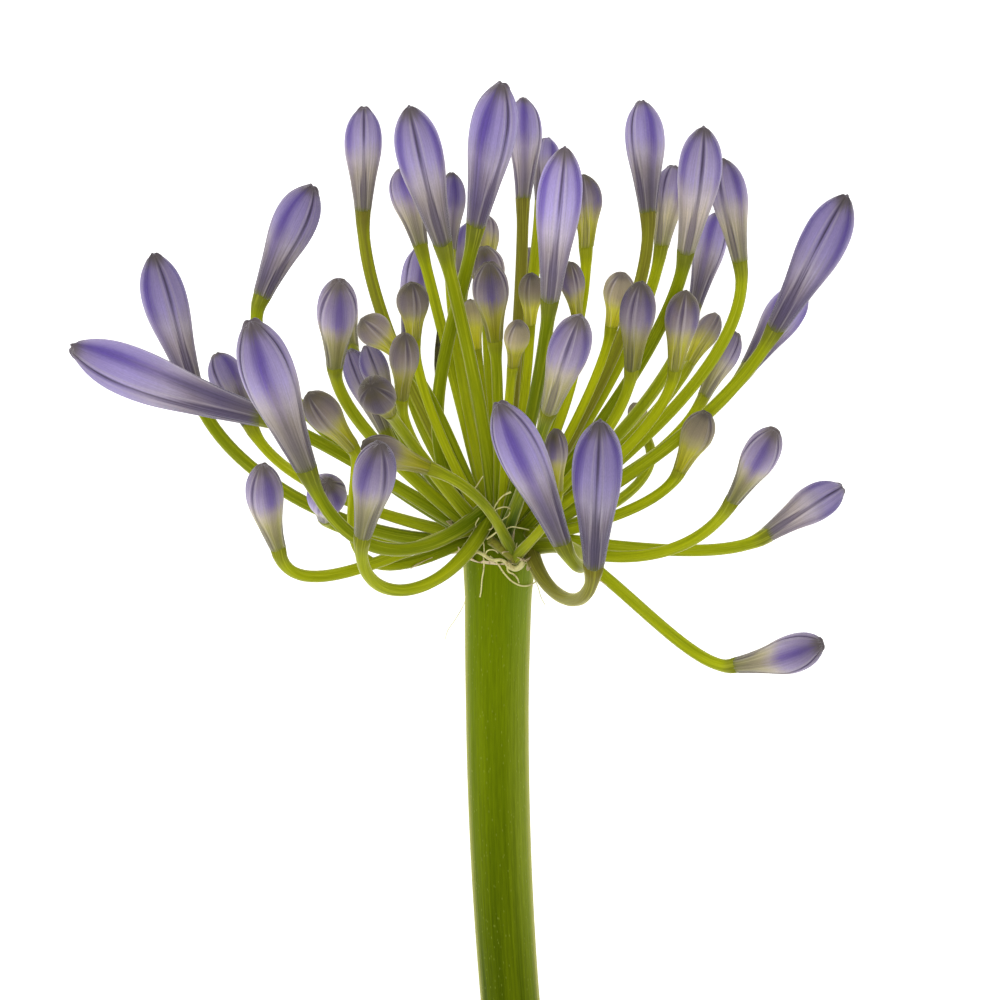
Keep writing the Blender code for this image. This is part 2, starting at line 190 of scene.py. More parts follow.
class StalkSettings(bpy.types.PropertyGroup):
    """Colours of the flower stalks."""

    young: colour_property("Young green", "Stalks of the young buds", 196, 202, 20)
    ripe: colour_property("Ripe green", "Stalks of the ripe buds", 157, 167, 15)
    # Deep green is also the painted shade at the roots of the stalks
    deep: colour_property("Deep green", "Root and green side of a stalk", 72, 96, 0)
    rusty: colour_property("Rusty green", "Brownish bloom on some stalks", 122, 112, 44)
    ridge: number_property(
        "Ridge", "Height of the lengthwise ridges as a share of the radius",
        0.05, 0.0, 0.3, subtype="FACTOR",
    )


class StemSettings(bpy.types.PropertyGroup):
    """Colours of the flower stem."""

    green: colour_property("Green", "Skin of the stem", 104, 124, 0)
    shade: colour_property("Deep green", "Skin of the stem towards its cut", 72, 88, 0)
    light: colour_property("Light green", "Pale streaks of the stem", 136, 152, 12)
    bloom: colour_property("Bloom", "Bluish bloom at the top of the stem", 92, 136, 24)
    pith: colour_property("Pith", "Inside of the stem at its cut", 196, 204, 140)


class RemainsSettings(bpy.types.PropertyGroup):
    """The dry remains among the stalks."""

    paper: colour_property("Paper", "Torn bracts", 230, 212, 172)
    thread: colour_property("Thread", "Dry threads", 234, 227, 158)
    width: number_property(
        "Thread width", "Width of a usual thread",
        0.00028, 0.0001, 0.001, subtype="DISTANCE", unit="LENGTH",
    )


class StudioSettings(bpy.types.PropertyGroup):
    """Floor, light and camera."""

    floor: colour_property("Floor", "Pale floor that the head lies on", 244, 244, 244)
    sky: number_property("Sky", "Brightness of the white surroundings", 0.52, 0.0, 5.0)
    key: number_property(
        "Key light", "Power of the large light overhead",
        5.0, 0.0, 1000.0, subtype="POWER", unit="POWER",
    )
    glow: number_property(
        "Floor glow", "Light that the floor gives by itself, as a light table does", 0.78, 0.0, 5.0
    )


# Shaders written as expressions


class Wire:
    """An output of a shader node that turns arithmetic into Math nodes."""

    def __init__(self, nodes, socket):
        self.nodes = nodes
        self.socket = socket

    def __add__(self, other):
        return self.nodes.maths("ADD", self, other)

    def __sub__(self, other):
        return self.nodes.maths("SUBTRACT", self, other)

    def __rsub__(self, other):
        return self.nodes.maths("SUBTRACT", other, self)

    def __mul__(self, other):
        return self.nodes.maths("MULTIPLY", self, other)

    def __abs__(self):
        return self.nodes.maths("ABSOLUTE", self)

    __radd__ = __add__
    __rmul__ = __mul__


class Finish:
    """A material under construction."""

    def __init__(self, name, **constants):
        self.material = bpy.data.materials.new(name)
        self.material.use_nodes = True
        self.tree = self.material.node_tree
        self.shader = self.tree.nodes["Principled BSDF"]
        for socket, value in constants.items():
            self.feed(self.shader.inputs[socket.replace("_", " ")], value)

    def feed(self, socket, value):
        """Links a wire to a socket, or sets a plain value on it."""
        if isinstance(value, Wire):
            self.tree.links.new(value.socket, socket)
        elif socket.type == "RGBA":
            socket.default_value = (*value, 1.0)
        else:
            socket.default_value = value

    def add(self, kind, settings=None, sockets=None, output=0):
        """Adds a node with its settings and sockets, and gives one of its outputs."""
        node = self.tree.nodes.new(kind)
        for name, value in (settings or {}).items():
            if name == "stops":
                self.place_stops(node.color_ramp, value)
            else:
                setattr(node, name, value)
        for name, value in (sockets or {}).items():
            self.feed(node.inputs[name], value)
        return Wire(self, node.outputs[output])

    def place_stops(self, ramp, stops):
        """Fills a colour ramp with stops: a place, and a setting or a display colour."""
        while len(ramp.elements) < len(stops):
            ramp.elements.new(1.0)
        for element, (place, *colour) in zip(ramp.elements, stops):
            element.position = place
            element.color = (*(shown(*colour) if len(colour) == 3 else colour[0]), 1.0)

    def maths(self, operation, first, second=0.0):
        return self.add("ShaderNodeMath", {"operation": operation}, {0: first, 1: second})

    def step(self, value, low, high):
        """Smooth rise from 0 to 1 as a value goes from low to high."""
        settings = {"interpolation_type": "SMOOTHSTEP"}
        sockets = {"Value": value, "From Min": low, "From Max": high}
        return self.add("ShaderNodeMapRange", settings, sockets)

    def ramp(self, value, *stops):
        return self.add("ShaderNodeValToRGB", {"stops": stops}, {"Fac": value})

    def mix(self, share, first, second):
        """Mix of two colours."""
        return self.add("ShaderNodeMix", {"data_type": "RGBA"}, {0: share, 6: first, 7: second}, 2)

    def toned(self, colour, tone):
        """A colour made brighter or darker."""
        return self.add("ShaderNodeVectorMath", {"operation": "SCALE"}, {0: colour, "Scale": tone})

    def carried(self, name):
        """The vector that a piece's points carry under a name."""
        return self.add("ShaderNodeAttribute", {"attribute_name": name}, output=1)

    def numbers(self, name):
        """The three numbers that a piece's points carry under a name."""
        split = self.add("ShaderNodeSeparateXYZ", sockets={0: self.carried(name)}).socket.node
        return [Wire(self, output) for output in split.outputs]

    def stretched(self, vector, scales, shift=0.0):
        """A vector multiplied along its axes and moved by an amount."""
        longer = self.add("ShaderNodeVectorMath", {"operation": "MULTIPLY"}, {0: vector, 1: scales})
        moved = self.add("ShaderNodeCombineXYZ", sockets={0: shift, 1: shift, 2: shift})
        return self.add("ShaderNodeVectorMath", {"operation": "ADD"}, {0: longer, 1: moved})

    def noise(self, vector, scale, detail=2.0, roughness=0.5):
        sockets = {"Vector": vector, "Scale": scale, "Detail": detail, "Roughness": roughness}
        return self.add("ShaderNodeTexNoise", sockets=sockets)

    def grain(self, vector, scales, shift=0.0, detail=2.0, roughness=0.5):
        """Noise about 0 on a vector that is stretched along its axes."""
        return self.noise(self.stretched(vector, scales, shift), 1.0, detail, roughness) - 0.5

    def bump(self, height, distance, strength):
        sockets = {"Height": height, "Distance": distance, "Strength": strength}
        return self.add("ShaderNodeBump", sockets=sockets)

    def wear(self, colour, roughness, normal):
        """Joins the finished patterns to the shader."""
        self.feed(self.shader.inputs["Base Color"], colour)
        self.feed(self.shader.inputs["Roughness"], roughness)
        self.feed(self.shader.inputs["Normal"], normal)
        return self.material


def petal_finish(name, settings, sheen, tint):
    """Petal skin: streaked foot, pale band, violet midribs, soft dark seams and a grey beak."""
    skin = Finish(
        name, Sheen_Weight=sheen, Sheen_Roughness=0.20, Sheen_Tint=tint, Specular_IOR_Level=0.10,
    )
    lengthwise = skin.carried("skin")
    ripe, seed, pale = skin.numbers("nature")
    along, across, light = skin.numbers("place")

    drift = skin.grain(lengthwise, (1.6, 1.6, 2.2), seed * 31.0, 1.0)
    veins = skin.grain(lengthwise, (11.0, 11.0, 1.1), seed * 17.0, 3.0, 0.6)
    threads = skin.grain(lengthwise, (30.0, 30.0, 2.0), seed * 7.0)
    specks = skin.grain(lengthwise, (22.0, 22.0, 60.0), seed * 5.0, 1.0)
    height = along + drift * 0.18 + veins * 0.16
    flank = across + drift * 0.30 + veins * 0.35

    ripe_flank = skin.ramp(
        height, (0.0, 108, 98, 112), (0.20, settings.mauve), (0.35, 130, 118, 142),
        (0.50, 174, 162, 192), (0.66, settings.lavender), (0.82, 154, 139, 194),
        (0.95, 144, 130, 168),
    )
    ripe_midrib = skin.ramp(
        height, (0.0, 98, 88, 108), (0.20, 90, 79, 118), (0.36, 104, 92, 134),
        (0.52, 128, 112, 166), (0.68, settings.violet), (0.84, 100, 81, 160),
        (0.95, 98, 83, 134),
    )
    cream_flank = skin.ramp(
        height, (0.0, 146, 142, 104), (0.08, 156, 149, 120), (0.22, 170, 159, 144),
        (0.38, settings.cream), (0.50, 206, 194, 196), (0.66, 180, 166, 208),
        (0.95, 134, 121, 160),
    )
    cream_midrib = skin.ramp(
        height, (0.0, 132, 128, 96), (0.20, 142, 132, 122), (0.36, 158, 146, 136),
        (0.50, 176, 162, 172), (0.66, 126, 108, 170), (0.82, 106, 88, 158),
        (0.95, 104, 90, 134),
    )
    flanks = skin.mix(pale, ripe_flank, cream_flank)
    midribs = skin.mix(pale, ripe_midrib, cream_midrib)
    ripe_skin = skin.mix(skin.step(flank, 0.50, 0.98), flanks, midribs)

    young_flank = skin.ramp(
        height, (0.0, 150, 151, 12), (0.20, 168, 165, 32), (0.36, settings.straw),
        (0.50, 180, 171, 108), (0.62, 154, 142, 142), (0.80, settings.dusk),
        (0.95, 100, 91, 66),
    )
    young_midrib = skin.ramp(
        height, (0.0, 126, 130, 8), (0.22, 144, 140, 24), (0.38, 162, 154, 66),
        (0.50, 148, 137, 102), (0.64, 106, 93, 132), (0.84, 90, 79, 104),
        (0.95, 84, 77, 56),
    )
    young_skin = skin.mix(skin.step(flank, 0.40, 1.0), young_flank, young_midrib)
    green_skin = skin.ramp(
        height, (0.0, settings.lime), (0.22, 212, 205, 48), (0.42, 220, 213, 80),
        (0.56, 202, 190, 128), (0.72, 170, 156, 126), (0.92, 140, 129, 108),
    )
    young = skin.mix(skin.step(ripe, 0.10, 0.44), green_skin, young_skin)
    colour = skin.mix(skin.step(ripe, 0.46, 0.98), young, ripe_skin)

    opening = skin.step(along, 0.62, 0.05) * 0.26 + 0.02
    inner = skin.step(across + veins * 0.45, opening + 0.10, opening - 0.08)
    colour = skin.mix(inner * 0.55 * (0.25 + ripe * 0.75), colour, shown(84, 74, 104))
    edge = skin.step(abs(across + veins * 0.14 - opening), 0.10, 0.0)
    faint = (0.20 + 0.34 * skin.step(ripe, 0.2, 0.9)) * (1.0 + threads * 2.0)
    clear = 1.0 - 0.70 * skin.step(abs(along + drift * 0.2 - 0.50), 0.26, 0.06)
    line = edge * faint * clear * skin.step(along, 1.0, 0.9)
    colour = skin.mix(line, colour, settings.seam)
    crease = skin.step(across, 0.08, 0.0) * skin.step(along, 0.56, 0.86) * faint
    colour = skin.mix(crease * 1.2, colour, settings.seam)
    wedge = skin.step(across + veins * 0.30, 0.36, 0.02) * skin.step(along, 0.74, 0.97)
    colour = skin.mix(wedge * 0.42, colour, shown(92, 80, 108))
    # Pale band beside the opening: partly the petal's paler edge, partly a painted highlight on the
    # raised edge
    pale_margin_and_highlight = skin.step(abs(across + veins * 0.20 - opening - 0.17), 0.10, 0.0)
    colour = skin.mix(pale_margin_and_highlight * 0.26, colour, shown(208, 198, 200))

    tip = skin.step(along + drift * 0.05 + veins * 0.10, 0.90, 0.985)
    colour = skin.mix(tip * 0.85, colour, settings.beak)
    foot = skin.step(along + veins * 0.14, 0.065, 0.0)
    joint = skin.mix(ripe, settings.young_joint, settings.ripe_joint)
    colour = skin.mix(foot * 0.95, colour, joint)
    lower = skin.step(along, 0.60, 0.15)
    tone = 1.0 + veins * (0.60 + lower * 0.75) + threads * (0.45 + lower * 0.25) + specks * 0.28
    # light carries each bud's painted light and shade
    colour = skin.toned(colour, tone * light)

    relief = skin.bump(veins * 0.8 + threads * 0.4 - edge * 0.3, 0.0004, 0.6)
    return skin.wear(colour, 0.46 + threads * 0.25 + tip * 0.15, relief)


def stalk_finish(settings):
    """Skin of the flower stalks, from yellow-green to deep green with fine streaks."""
    skin = Finish(
        "Stalk skin", Sheen_Weight=1.0, Sheen_Roughness=0.27, Specular_IOR_Level=0.05,
        Sheen_Tint=(1.0, 0.94, 0.50),
    )
    lengthwise = skin.carried("skin")
    ripe, seed, rust = skin.numbers("nature")
    along, depth = skin.numbers("place")[:2]
    streaks = skin.grain(lengthwise, (1.5, 1.5, 3.0), seed * 23.0, 2.0, 0.6)
    fine = skin.grain(lengthwise, (6.0, 6.0, 4.0), seed * 11.0)
    specks = skin.grain(lengthwise, (9.0, 9.0, 160.0), seed * 3.0, 1.0)
    green = skin.mix(ripe + streaks * 0.8, settings.young, settings.ripe)
    # Darker towards the root: painted shade where the stalks crowd together at the stem
    root = skin.step(along, 0.36, 0.0)
    green = skin.mix(root * 0.50 + streaks * 0.8 + depth, green, settings.deep)
    top = skin.step(along + streaks * 0.05, 0.90, 1.0)
    petals = bpy.context.scene.flower_petals
    joint = skin.mix(ripe, petals.young_joint, petals.ripe_joint)
    green = skin.mix(top * 0.90, green, joint)
    brown = skin.step(rust + streaks * 0.5, 0.25, 0.9) * 0.8
    colour = skin.mix(brown, green, settings.rusty)
    # Pale lengthwise streaks: partly the stalk's own pale lines, partly painted highlights along
    # its ridges
    colour = skin.mix(skin.step(fine, 0.0, 0.24) * 0.30, colour, shown(210, 212, 74))
    tone = 1.0 + fine * 0.36 + specks * 0.20
    colour = skin.toned(colour, tone)
    relief = skin.bump(streaks * 0.6 + fine * 0.4, 0.0004, 0.5)
    return skin.wear(colour, 0.42 + fine * 0.2, relief)


def stem_finish(settings):
    """Skin of the flower stem: darker towards its cut, with mottling, specks and pale pith."""
    skin = Finish(
        "Stem skin", Sheen_Weight=0.50, Sheen_Roughness=0.18, Specular_IOR_Level=0.03,
        Sheen_Tint=(1.0, 0.90, 0.42),
    )
    lengthwise = skin.carried("skin")
    cosine = skin.numbers("skin")[0]
    along, core = skin.numbers("place")[:2]
    broad = skin.grain(lengthwise, (1.8, 1.8, 1.6))
    streaks = skin.grain(lengthwise, (13.0, 13.0, 2.4), 0.0, 3.0, 0.65)
    fine = skin.grain(lengthwise, (36.0, 36.0, 30.0))
    low = skin.step(along, 0.98, 0.05)
    green = skin.mix(low, settings.green, settings.shade)
    colour = skin.mix(0.16 + broad * 0.7 + streaks * 0.7, green, settings.light)
    near_top = skin.step(along + broad * 0.1, 0.74, 0.95)
    colour = skin.mix(near_top * skin.step(cosine, -0.1, 0.9) * 0.35, colour, settings.bloom)
    # A lighter band along the stem's right side: painted light
    right = skin.step(cosine + streaks * 0.3, 0.20, 0.80) * skin.step(along, 0.15, 0.50)
    colour = skin.mix(right * 0.50, colour, shown(146, 160, 48))
    # Pale bands along both sides of the stem: painted light from behind
    side = skin.step(abs(cosine) + streaks * 0.1, 0.82, 1.0)
    colour = skin.mix(side * 0.70, colour, shown(180, 180, 84))
    shaded = skin.step(along, 0.975, 1.01)
    colour = skin.mix(shaded * 0.6, colour, shown(78, 92, 8))
    cells = skin.stretched(lengthwise, (9.0, 9.0, 60.0))
    speck = skin.add("ShaderNodeTexVoronoi", {"feature": "F1"}, {"Vector": cells, "Scale": 1.0})
    speck = skin.step(speck, 0.20, 0.06)
    colour = skin.mix(speck * 0.40, colour, shown(158, 172, 66))
    tone = 1.0 + streaks * 0.24 + fine * 0.62
    colour = skin.toned(colour, tone)
    fibres = skin.noise(skin.stretched(lengthwise, (9.0, 9.0, 9.0)), 2.0, 3.0)
    pith = skin.mix(fibres * 0.6, settings.pith, shown(150, 164, 84))
    colour = skin.mix(skin.step(core, 0.96, 0.86), colour, pith)
    relief = skin.bump(streaks * 0.8 + fine * 0.3 + speck * 0.3, 0.0003, 0.5)
    return skin.wear(colour, 0.42 + fine * 0.2, relief)


def dry_finish(name, colour, brown):
    """Dry papery tissue, which darkens in patches."""
    skin = Finish(name, Sheen_Weight=0.1, Specular_IOR_Level=0.3)
    where = skin.add("ShaderNodeTexCoord", output=3)
    patches = skin.noise(where, 900.0, 3.0, 0.6)
    grain = skin.noise(where, 4200.0, 2.0)
    mixed = skin.mix(skin.step(patches, 0.48, 0.72), colour, brown)
    relief = skin.bump(patches * 0.6 + grain * 0.4, 0.0002, 0.6)
    return skin.wear(mixed, 0.62 + grain * 0.2, relief)


# Ways of working with meshes


def deselect_all():
    if bpy.context.object and bpy.context.object.mode != "OBJECT":
        bpy.ops.object.mode_set(mode="OBJECT")
    bpy.ops.object.select_all(action="DESELECT")


def make_active(piece):
    """Selects one piece alone."""
    deselect_all()
    piece.select_set(True)
    bpy.context.view_layer.objects.active = piece


def name_piece(piece, name):
    piece.name = name
    piece.data.name = name


def pick(piece, chosen):
    """Selects, in edit mode, the points whose place passes a test."""
    bpy.ops.object.mode_set(mode="OBJECT")
    mesh = piece.data
    for item in (*mesh.polygons, *mesh.edges):
        item.select = False
    for vertex in mesh.vertices:
        vertex.select = bool(chosen(vertex.co))
    bpy.ops.object.mode_set(mode="EDIT")
    bpy.ops.mesh.select_mode(type="VERT")


def petal_step(place, sides):
    """Number of steps from the nearest seam at which a point lies, on rings of equal steps."""
    step = math.atan2(place.y, place.x) / (2 * math.pi / sides)
    per_petal = sides // PETALS
    past = round(step) % per_petal
    return past if past <= per_petal // 2 else past - per_petal


def draw_rings(name, outline, length, width, sides, crowded=()):
    """Closed body drawn up along Z from a ring of points through every point of an outline.

    The outline gives shares of the length and of the half width. Each pair in crowded turns
    the points at that many steps from a seam towards it by that many degrees.
    """
    deselect_all()
    first, start = outline[0]
    bpy.ops.mesh.primitive_circle_add(
        vertices=sides, radius=start * width / 2, fill_type="TRIFAN", location=(0, 0, 0)
    )
    piece = bpy.context.object
    name_piece(piece, name)
    bpy.ops.object.mode_set(mode="EDIT")
    for steps, degrees in crowded:
        for side in (1, -1):
            pick(piece, lambda place: place.xy.length > MM / 10
                 and petal_step(place, sides) == steps * side)
            bpy.ops.transform.rotate(
                value=math.radians(degrees) * side, orient_axis="Z", center_override=(0, 0, 0)
            )
    bpy.ops.mesh.select_all(action="SELECT")
    bpy.ops.transform.translate(value=(0, 0, first * length))
    for (low, inner), (high, outer) in zip(outline, outline[1:]):
        rise = (high - low) * length
        bpy.ops.mesh.extrude_region_move(TRANSFORM_OT_translate={"value": (0, 0, rise)})
        share = outer / inner
        bpy.ops.transform.resize(value=(share, share, 1))
    bpy.ops.mesh.select_all(action="DESELECT")
    bpy.ops.mesh.select_non_manifold()
    bpy.ops.mesh.edge_face_add()
    return piece


def close_foot(inset=0.0, depth=0.0):
    """Closes the selected foot of a body, with a dished face where an inset is given."""
    if inset:
        bpy.ops.mesh.inset(thickness=inset, depth=depth)
    bpy.ops.mesh.poke()
    bpy.ops.mesh.select_all(action="SELECT")
    bpy.ops.mesh.normals_make_consistent(inside=False)
    bpy.ops.object.mode_set(mode="OBJECT")


def smoothed(piece):
    """Applies a subdivision surface and shades the piece smooth."""
    make_active(piece)
    rounding = piece.modifiers.new("Rounding", "SUBSURF")
    rounding.levels = 1
    rounding.render_levels = 1
    bpy.ops.object.modifier_apply(modifier=rounding.name)
    bpy.ops.object.shade_smooth()
    return piece


def walled(piece, thickness, offset=-1.0):
    """Gives a thin piece a wall."""
    make_active(piece)
    wall = piece.modifiers.new("Wall", "SOLIDIFY")
    wall.thickness = thickness
    wall.offset = offset
    bpy.ops.object.modifier_apply(modifier=wall.name)
    return piece


def points_of(mesh):
    """Places of a mesh's points as rows."""
    places = np.empty(len(mesh.vertices) * 3)
    mesh.vertices.foreach_get("co", places)
    return places.reshape(-1, 3)


def lay_points(mesh, places):
    mesh.vertices.foreach_set("co", places.astype(np.float32).ravel())
    mesh.update()


def give_points(mesh, name, columns):
    """Stores up to three numbers for every point under a name."""
    filled = np.stack(np.broadcast_arrays(*columns, np.zeros(len(mesh.vertices)))[:3], axis=-1)
    layer = mesh.attributes.new(name, "FLOAT_VECTOR", "POINT")
    layer.data.foreach_set("vector", filled.astype(np.float32).ravel())


def copy_of(master, name):
    """A copy with a mesh of its own."""
    piece = bpy.data.objects.new(name, master.data.copy())
    piece.data.name = name
    bpy.context.scene.collection.objects.link(piece)
    return piece


def remove(piece):
    mesh = piece.data
    bpy.data.objects.remove(piece, do_unlink=True)
    bpy.data.meshes.remove(mesh)


def join(pieces, name):
    """Joins pieces into the first of them."""
    deselect_all()
    for piece in pieces:
        piece.select_set(True)
    bpy.context.view_layer.objects.active = pieces[0]
    bpy.ops.object.join()
    joined = bpy.context.object
    name_piece(joined, name)
    return joined


def unit(vector):
    return vector / np.linalg.norm(vector)


# What the solids tell


def solid_points(node):
    """Corner points of a solid, each once."""
    return np.unique(points_of(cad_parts[node].data).round(6), axis=0)


def read_bud(number):
    """Place, size, bow, seams and ripeness of a bud, from the rings of its solid."""
    points = solid_points(f"bud_{number:02d}")
    middle = points.mean(axis=0)
    axis = np.linalg.svd(points - middle)[2][0]
    order = np.argsort((points - middle) @ axis)
    rings = points[order].reshape(RING_COUNT, -1, 3)
    centres = rings.mean(axis=1)
    spread = np.linalg.norm(rings - centres[:, None], axis=-1)
    if spread[0].mean() < spread[-1].mean():
        rings = rings[::-1]
        centres = centres[::-1]
        spread = spread[::-1]
    base, tip = centres[0], centres[-1]
    widest = rings[WIDEST_RING]
    straight = base + WIDEST_SHARE * (tip - base)
    bow = (centres[WIDEST_RING] - straight) / (4 * WIDEST_SHARE * (1 - WIDEST_SHARE))
    seam = widest[np.argmin(spread[WIDEST_RING])] - centres[WIDEST_RING]
    half_width = spread[WIDEST_RING].max()
    young, grown = LOWER_WIDTHS
    ripe = (spread[LOWER_RING].max() / half_width - young) / (grown - young)
    return Bud(number, base, tip, bow, unit(seam), half_width, min(max(ripe, 0.0), 1.0))


def bowed_start(base, axis, arch):
    """Root and first handle of a stalk that leaves on the far side of its chord from the bud."""
    chord = unit(base)
    along = axis @ chord
    across = axis - along * chord
    lean = np.linalg.norm(across)
    turn = arch * math.atan2(lean, along)
    leaving = math.cos(turn) * chord - math.sin(turn) * unit(across)
    root = ROOT_SPREAD * leaving
    end = base - JOINT_GAP * axis
    return root, root + ROOT_REACH * np.linalg.norm(end - root) * leaving


def pedicel_curve(bud, shares):
    """Points of a stalk from the receptacle to its bud, and the way in which it ends."""
    centre = np.array(UMBEL_CENTRE)
    base = bud.base - centre
    axis = unit(bud.tip - bud.base)
    end = base - JOINT_GAP * axis
    if bud.number in WAYS:
        *spots, reach = WAYS[bud.number]
        root, first = (np.array(seen_at(spot[:2], spot[2] * MM)) - centre for spot in spots)
    else:
        arch = ARCHES.get(bud.number, USUAL_ARCH)
        root, first = bowed_start(base, axis, arch)
        reach = BUD_REACH + ARCHED_REACH * min(arch, 1)
    second = end - reach * np.linalg.norm(end - root) * axis
    share = shares[:, None]
    rest = 1 - share
    curve = root * rest**3 + 3 * first * rest**2 * share + 3 * second * rest * share**2
    curve = centre + curve + end * share**3
    curve[-1] += (JOINT_GAP + STALK_SEAT) * axis
    return curve, axis


def seen_at(pixel, rise):
    """Point at a rise over the umbel's centre that is seen at a pixel of the view from above."""
    nearer = 1 - rise / EYE_HEIGHT
    x = (pixel[0] - PICTURE_CENTRE[0]) * PIXEL * nearer
    y = (PICTURE_CENTRE[1] - pixel[1]) * PIXEL * nearer
    shift_x = (UMBEL_PIXEL[0] - PICTURE_CENTRE[0]) * PIXEL
    shift_y = (PICTURE_CENTRE[1] - UMBEL_PIXEL[1]) * PIXEL
    return UMBEL_CENTRE + Vector((x - shift_x, y - shift_y, rise))


BUDS = [read_bud(number) for number in range(1, BUD_COUNT + 1)]


# Buds

# Outlines from foot to beak, as shares of the length and of the half width
RIPE_OUTLINE = (
    (0.0, 0.35), (0.006, 0.42), (0.03, 0.445), (0.08, 0.483), (0.15, 0.54), (0.22, 0.613),
    (0.30, 0.685), (0.38, 0.775), (0.46, 0.878), (0.54, 0.96), (0.61, 1.0), (0.68, 1.01),
    (0.75, 0.98), (0.81, 0.905), (0.86, 0.795), (0.90, 0.66), (0.93, 0.53), (0.954, 0.405),
    (0.972, 0.31), (0.988, 0.25), (1.0, 0.20), (1.008, 0.11),
)
YOUNG_OUTLINE = (
    (0.0, 0.37), (0.006, 0.45), (0.03, 0.47), (0.08, 0.49), (0.15, 0.51), (0.22, 0.545),
    (0.30, 0.60), (0.38, 0.69), (0.46, 0.81), (0.54, 0.93), (0.61, 0.995), (0.68, 1.0),
    (0.75, 0.965), (0.81, 0.89), (0.86, 0.795), (0.90, 0.68), (0.93, 0.565), (0.954, 0.445),
    (0.972, 0.34), (0.988, 0.26), (1.0, 0.19), (1.008, 0.10),
)
MASTER_LENGTH = 0.024
MASTER_WIDTH = 0.008
BUD_SIDES = 24
# Steps from a seam, and how many degrees the points there are drawn towards it
CROWDED = ((1, 10.0), (2, 17.0), (3, 14.0))
# Where a bud is sunk: lowest and highest station, degrees from a seam, and share of the groove
SUNK = ((0.04, 0.998, 0, 0.50), (0.45, 0.95, 0, 0.60), (0.05, 0.50, 13, 0.45))
MIDRIB = 60
MIDRIB_SWELL = 1.012
BEAK_SWELL = 1.35
BEAK_NOTCH = 0.016
SAME_ANGLE = 0.03
# How far a bud is out of round, how much it is twisted, and the angles that a draw may give
LOPSIDED = 0.035
TWIST = 0.10
ALL_ROUND = (0, 6.28)


def model_bud(groove):
    """One closed bud along Z, with sunken seams, raised petal edges and a notched beak."""
    piece = draw_rings("bud_master", RIPE_OUTLINE, MASTER_LENGTH, MASTER_WIDTH, BUD_SIDES, CROWDED)
    close_foot()
    seams = [math.radians(360 / PETALS) * petal for petal in range(PETALS)]

    def near_seam(place, low, high, degrees):
        turned = math.atan2(place.y, place.x)
        gap = min(abs(math.remainder(turned - seam, 2 * math.pi)) for seam in seams)
        off_axis = place.xy.length > MM / 100
        between = low < place.z / MASTER_LENGTH < high
        return off_axis and between and abs(gap - math.radians(degrees)) < SAME_ANGLE

    def pull(low, high, degrees, share):
        pick(piece, lambda place: near_seam(place, low, high, degrees))
        bpy.ops.transform.resize(value=(share, share, 1), center_override=(0, 0, 0))

    bpy.ops.object.mode_set(mode="EDIT")
    for low, high, degrees, share in SUNK:
        pull(low, high, degrees, 1 - groove * share)
    pull(0.20, 0.85, MIDRIB, MIDRIB_SWELL)
    pull(0.96, 1.1, MIDRIB, BEAK_SWELL)
    pick(piece, lambda place: place.z > MASTER_LENGTH * 0.985
         and not near_seam(place, 0.9, 1.1, MIDRIB))
    bpy.ops.transform.translate(value=(0, 0, -BEAK_NOTCH * MASTER_LENGTH))
    bpy.ops.object.mode_set(mode="OBJECT")
    return smoothed(piece)


def seam_share(angles):
    """0 on a seam and 1 on a midrib, for angles round the bud."""
    turned = (angles / (2 * math.pi) * PETALS) % 1.0
    return 1 - np.abs(2 * turned - 1)


def age_share(along, ripe):
    """Radius of a bud of some ripeness, as a share of the ripe bud's radius at that station."""
    grown = np.interp(along, *zip(*RIPE_OUTLINE))
    young = np.interp(along, *zip(*YOUNG_OUTLINE))
    return ripe + (1 - ripe) * young / grown


def bud_painted_light(number, along):
    """Painted light and shade of a bud at its stations, 1 for the usual one."""
    below = LIT_TONE if number in LIT_BELOW else SHADED_TONE if number in SHADED_BELOW else 1.0
    above = LIT_TONE if number in LIT_ABOVE else SHADED_TONE if number in SHADED_ABOVE else 1.0
    return np.interp(along, (0.35, 0.60), (below, above))


def place_bud(piece, bud, shape):
    """Bends a copy of the modelled bud to the place, size and ripeness of one bud."""
    along = shape[:, 2] / MASTER_LENGTH
    angles = np.arctan2(shape[:, 1], shape[:, 0])
    random_draw = random.Random(bud.number)
    fullest = random_draw.uniform(*ALL_ROUND)
    lopsided = 1 + LOPSIDED * np.sin(math.pi * along) * np.cos(angles - fullest)
    swing = TWIST * (random_draw.random() - 0.5)
    axis = bud.tip - bud.base
    side = unit(bud.seam - (bud.seam @ axis) / (axis @ axis) * axis)
    other = np.cross(unit(axis), side)
    share = bud.half_width / (MASTER_WIDTH / 2) * age_share(along, bud.ripe) * lopsided
    out = shape[:, :2] * share[:, None]
    turn = swing * along
    out_side = out[:, 0] * np.cos(turn) - out[:, 1] * np.sin(turn)
    out_other = out[:, 0] * np.sin(turn) + out[:, 1] * np.cos(turn)
    arc = (4 * along * (1 - along))[:, None]
    places = bud.base + along[:, None] * axis + arc * bud.bow
    places = places + out_side[:, None] * side + out_other[:, None] * other
    places[:, 2] = np.maximum(places[:, 2], 0.0)
    lay_points(piece.data, places)
    pale = PALE.get(bud.number, USUAL_PALE)
    give_points(piece.data, "skin", (np.cos(angles), np.sin(angles), along))
    give_points(piece.data, "place", (along, seam_share(angles), bud_painted_light(bud.number, along)))
    age = AGES.get(bud.number, bud.ripe)
    give_points(piece.data, "nature", (age, random_draw.random(), pale))


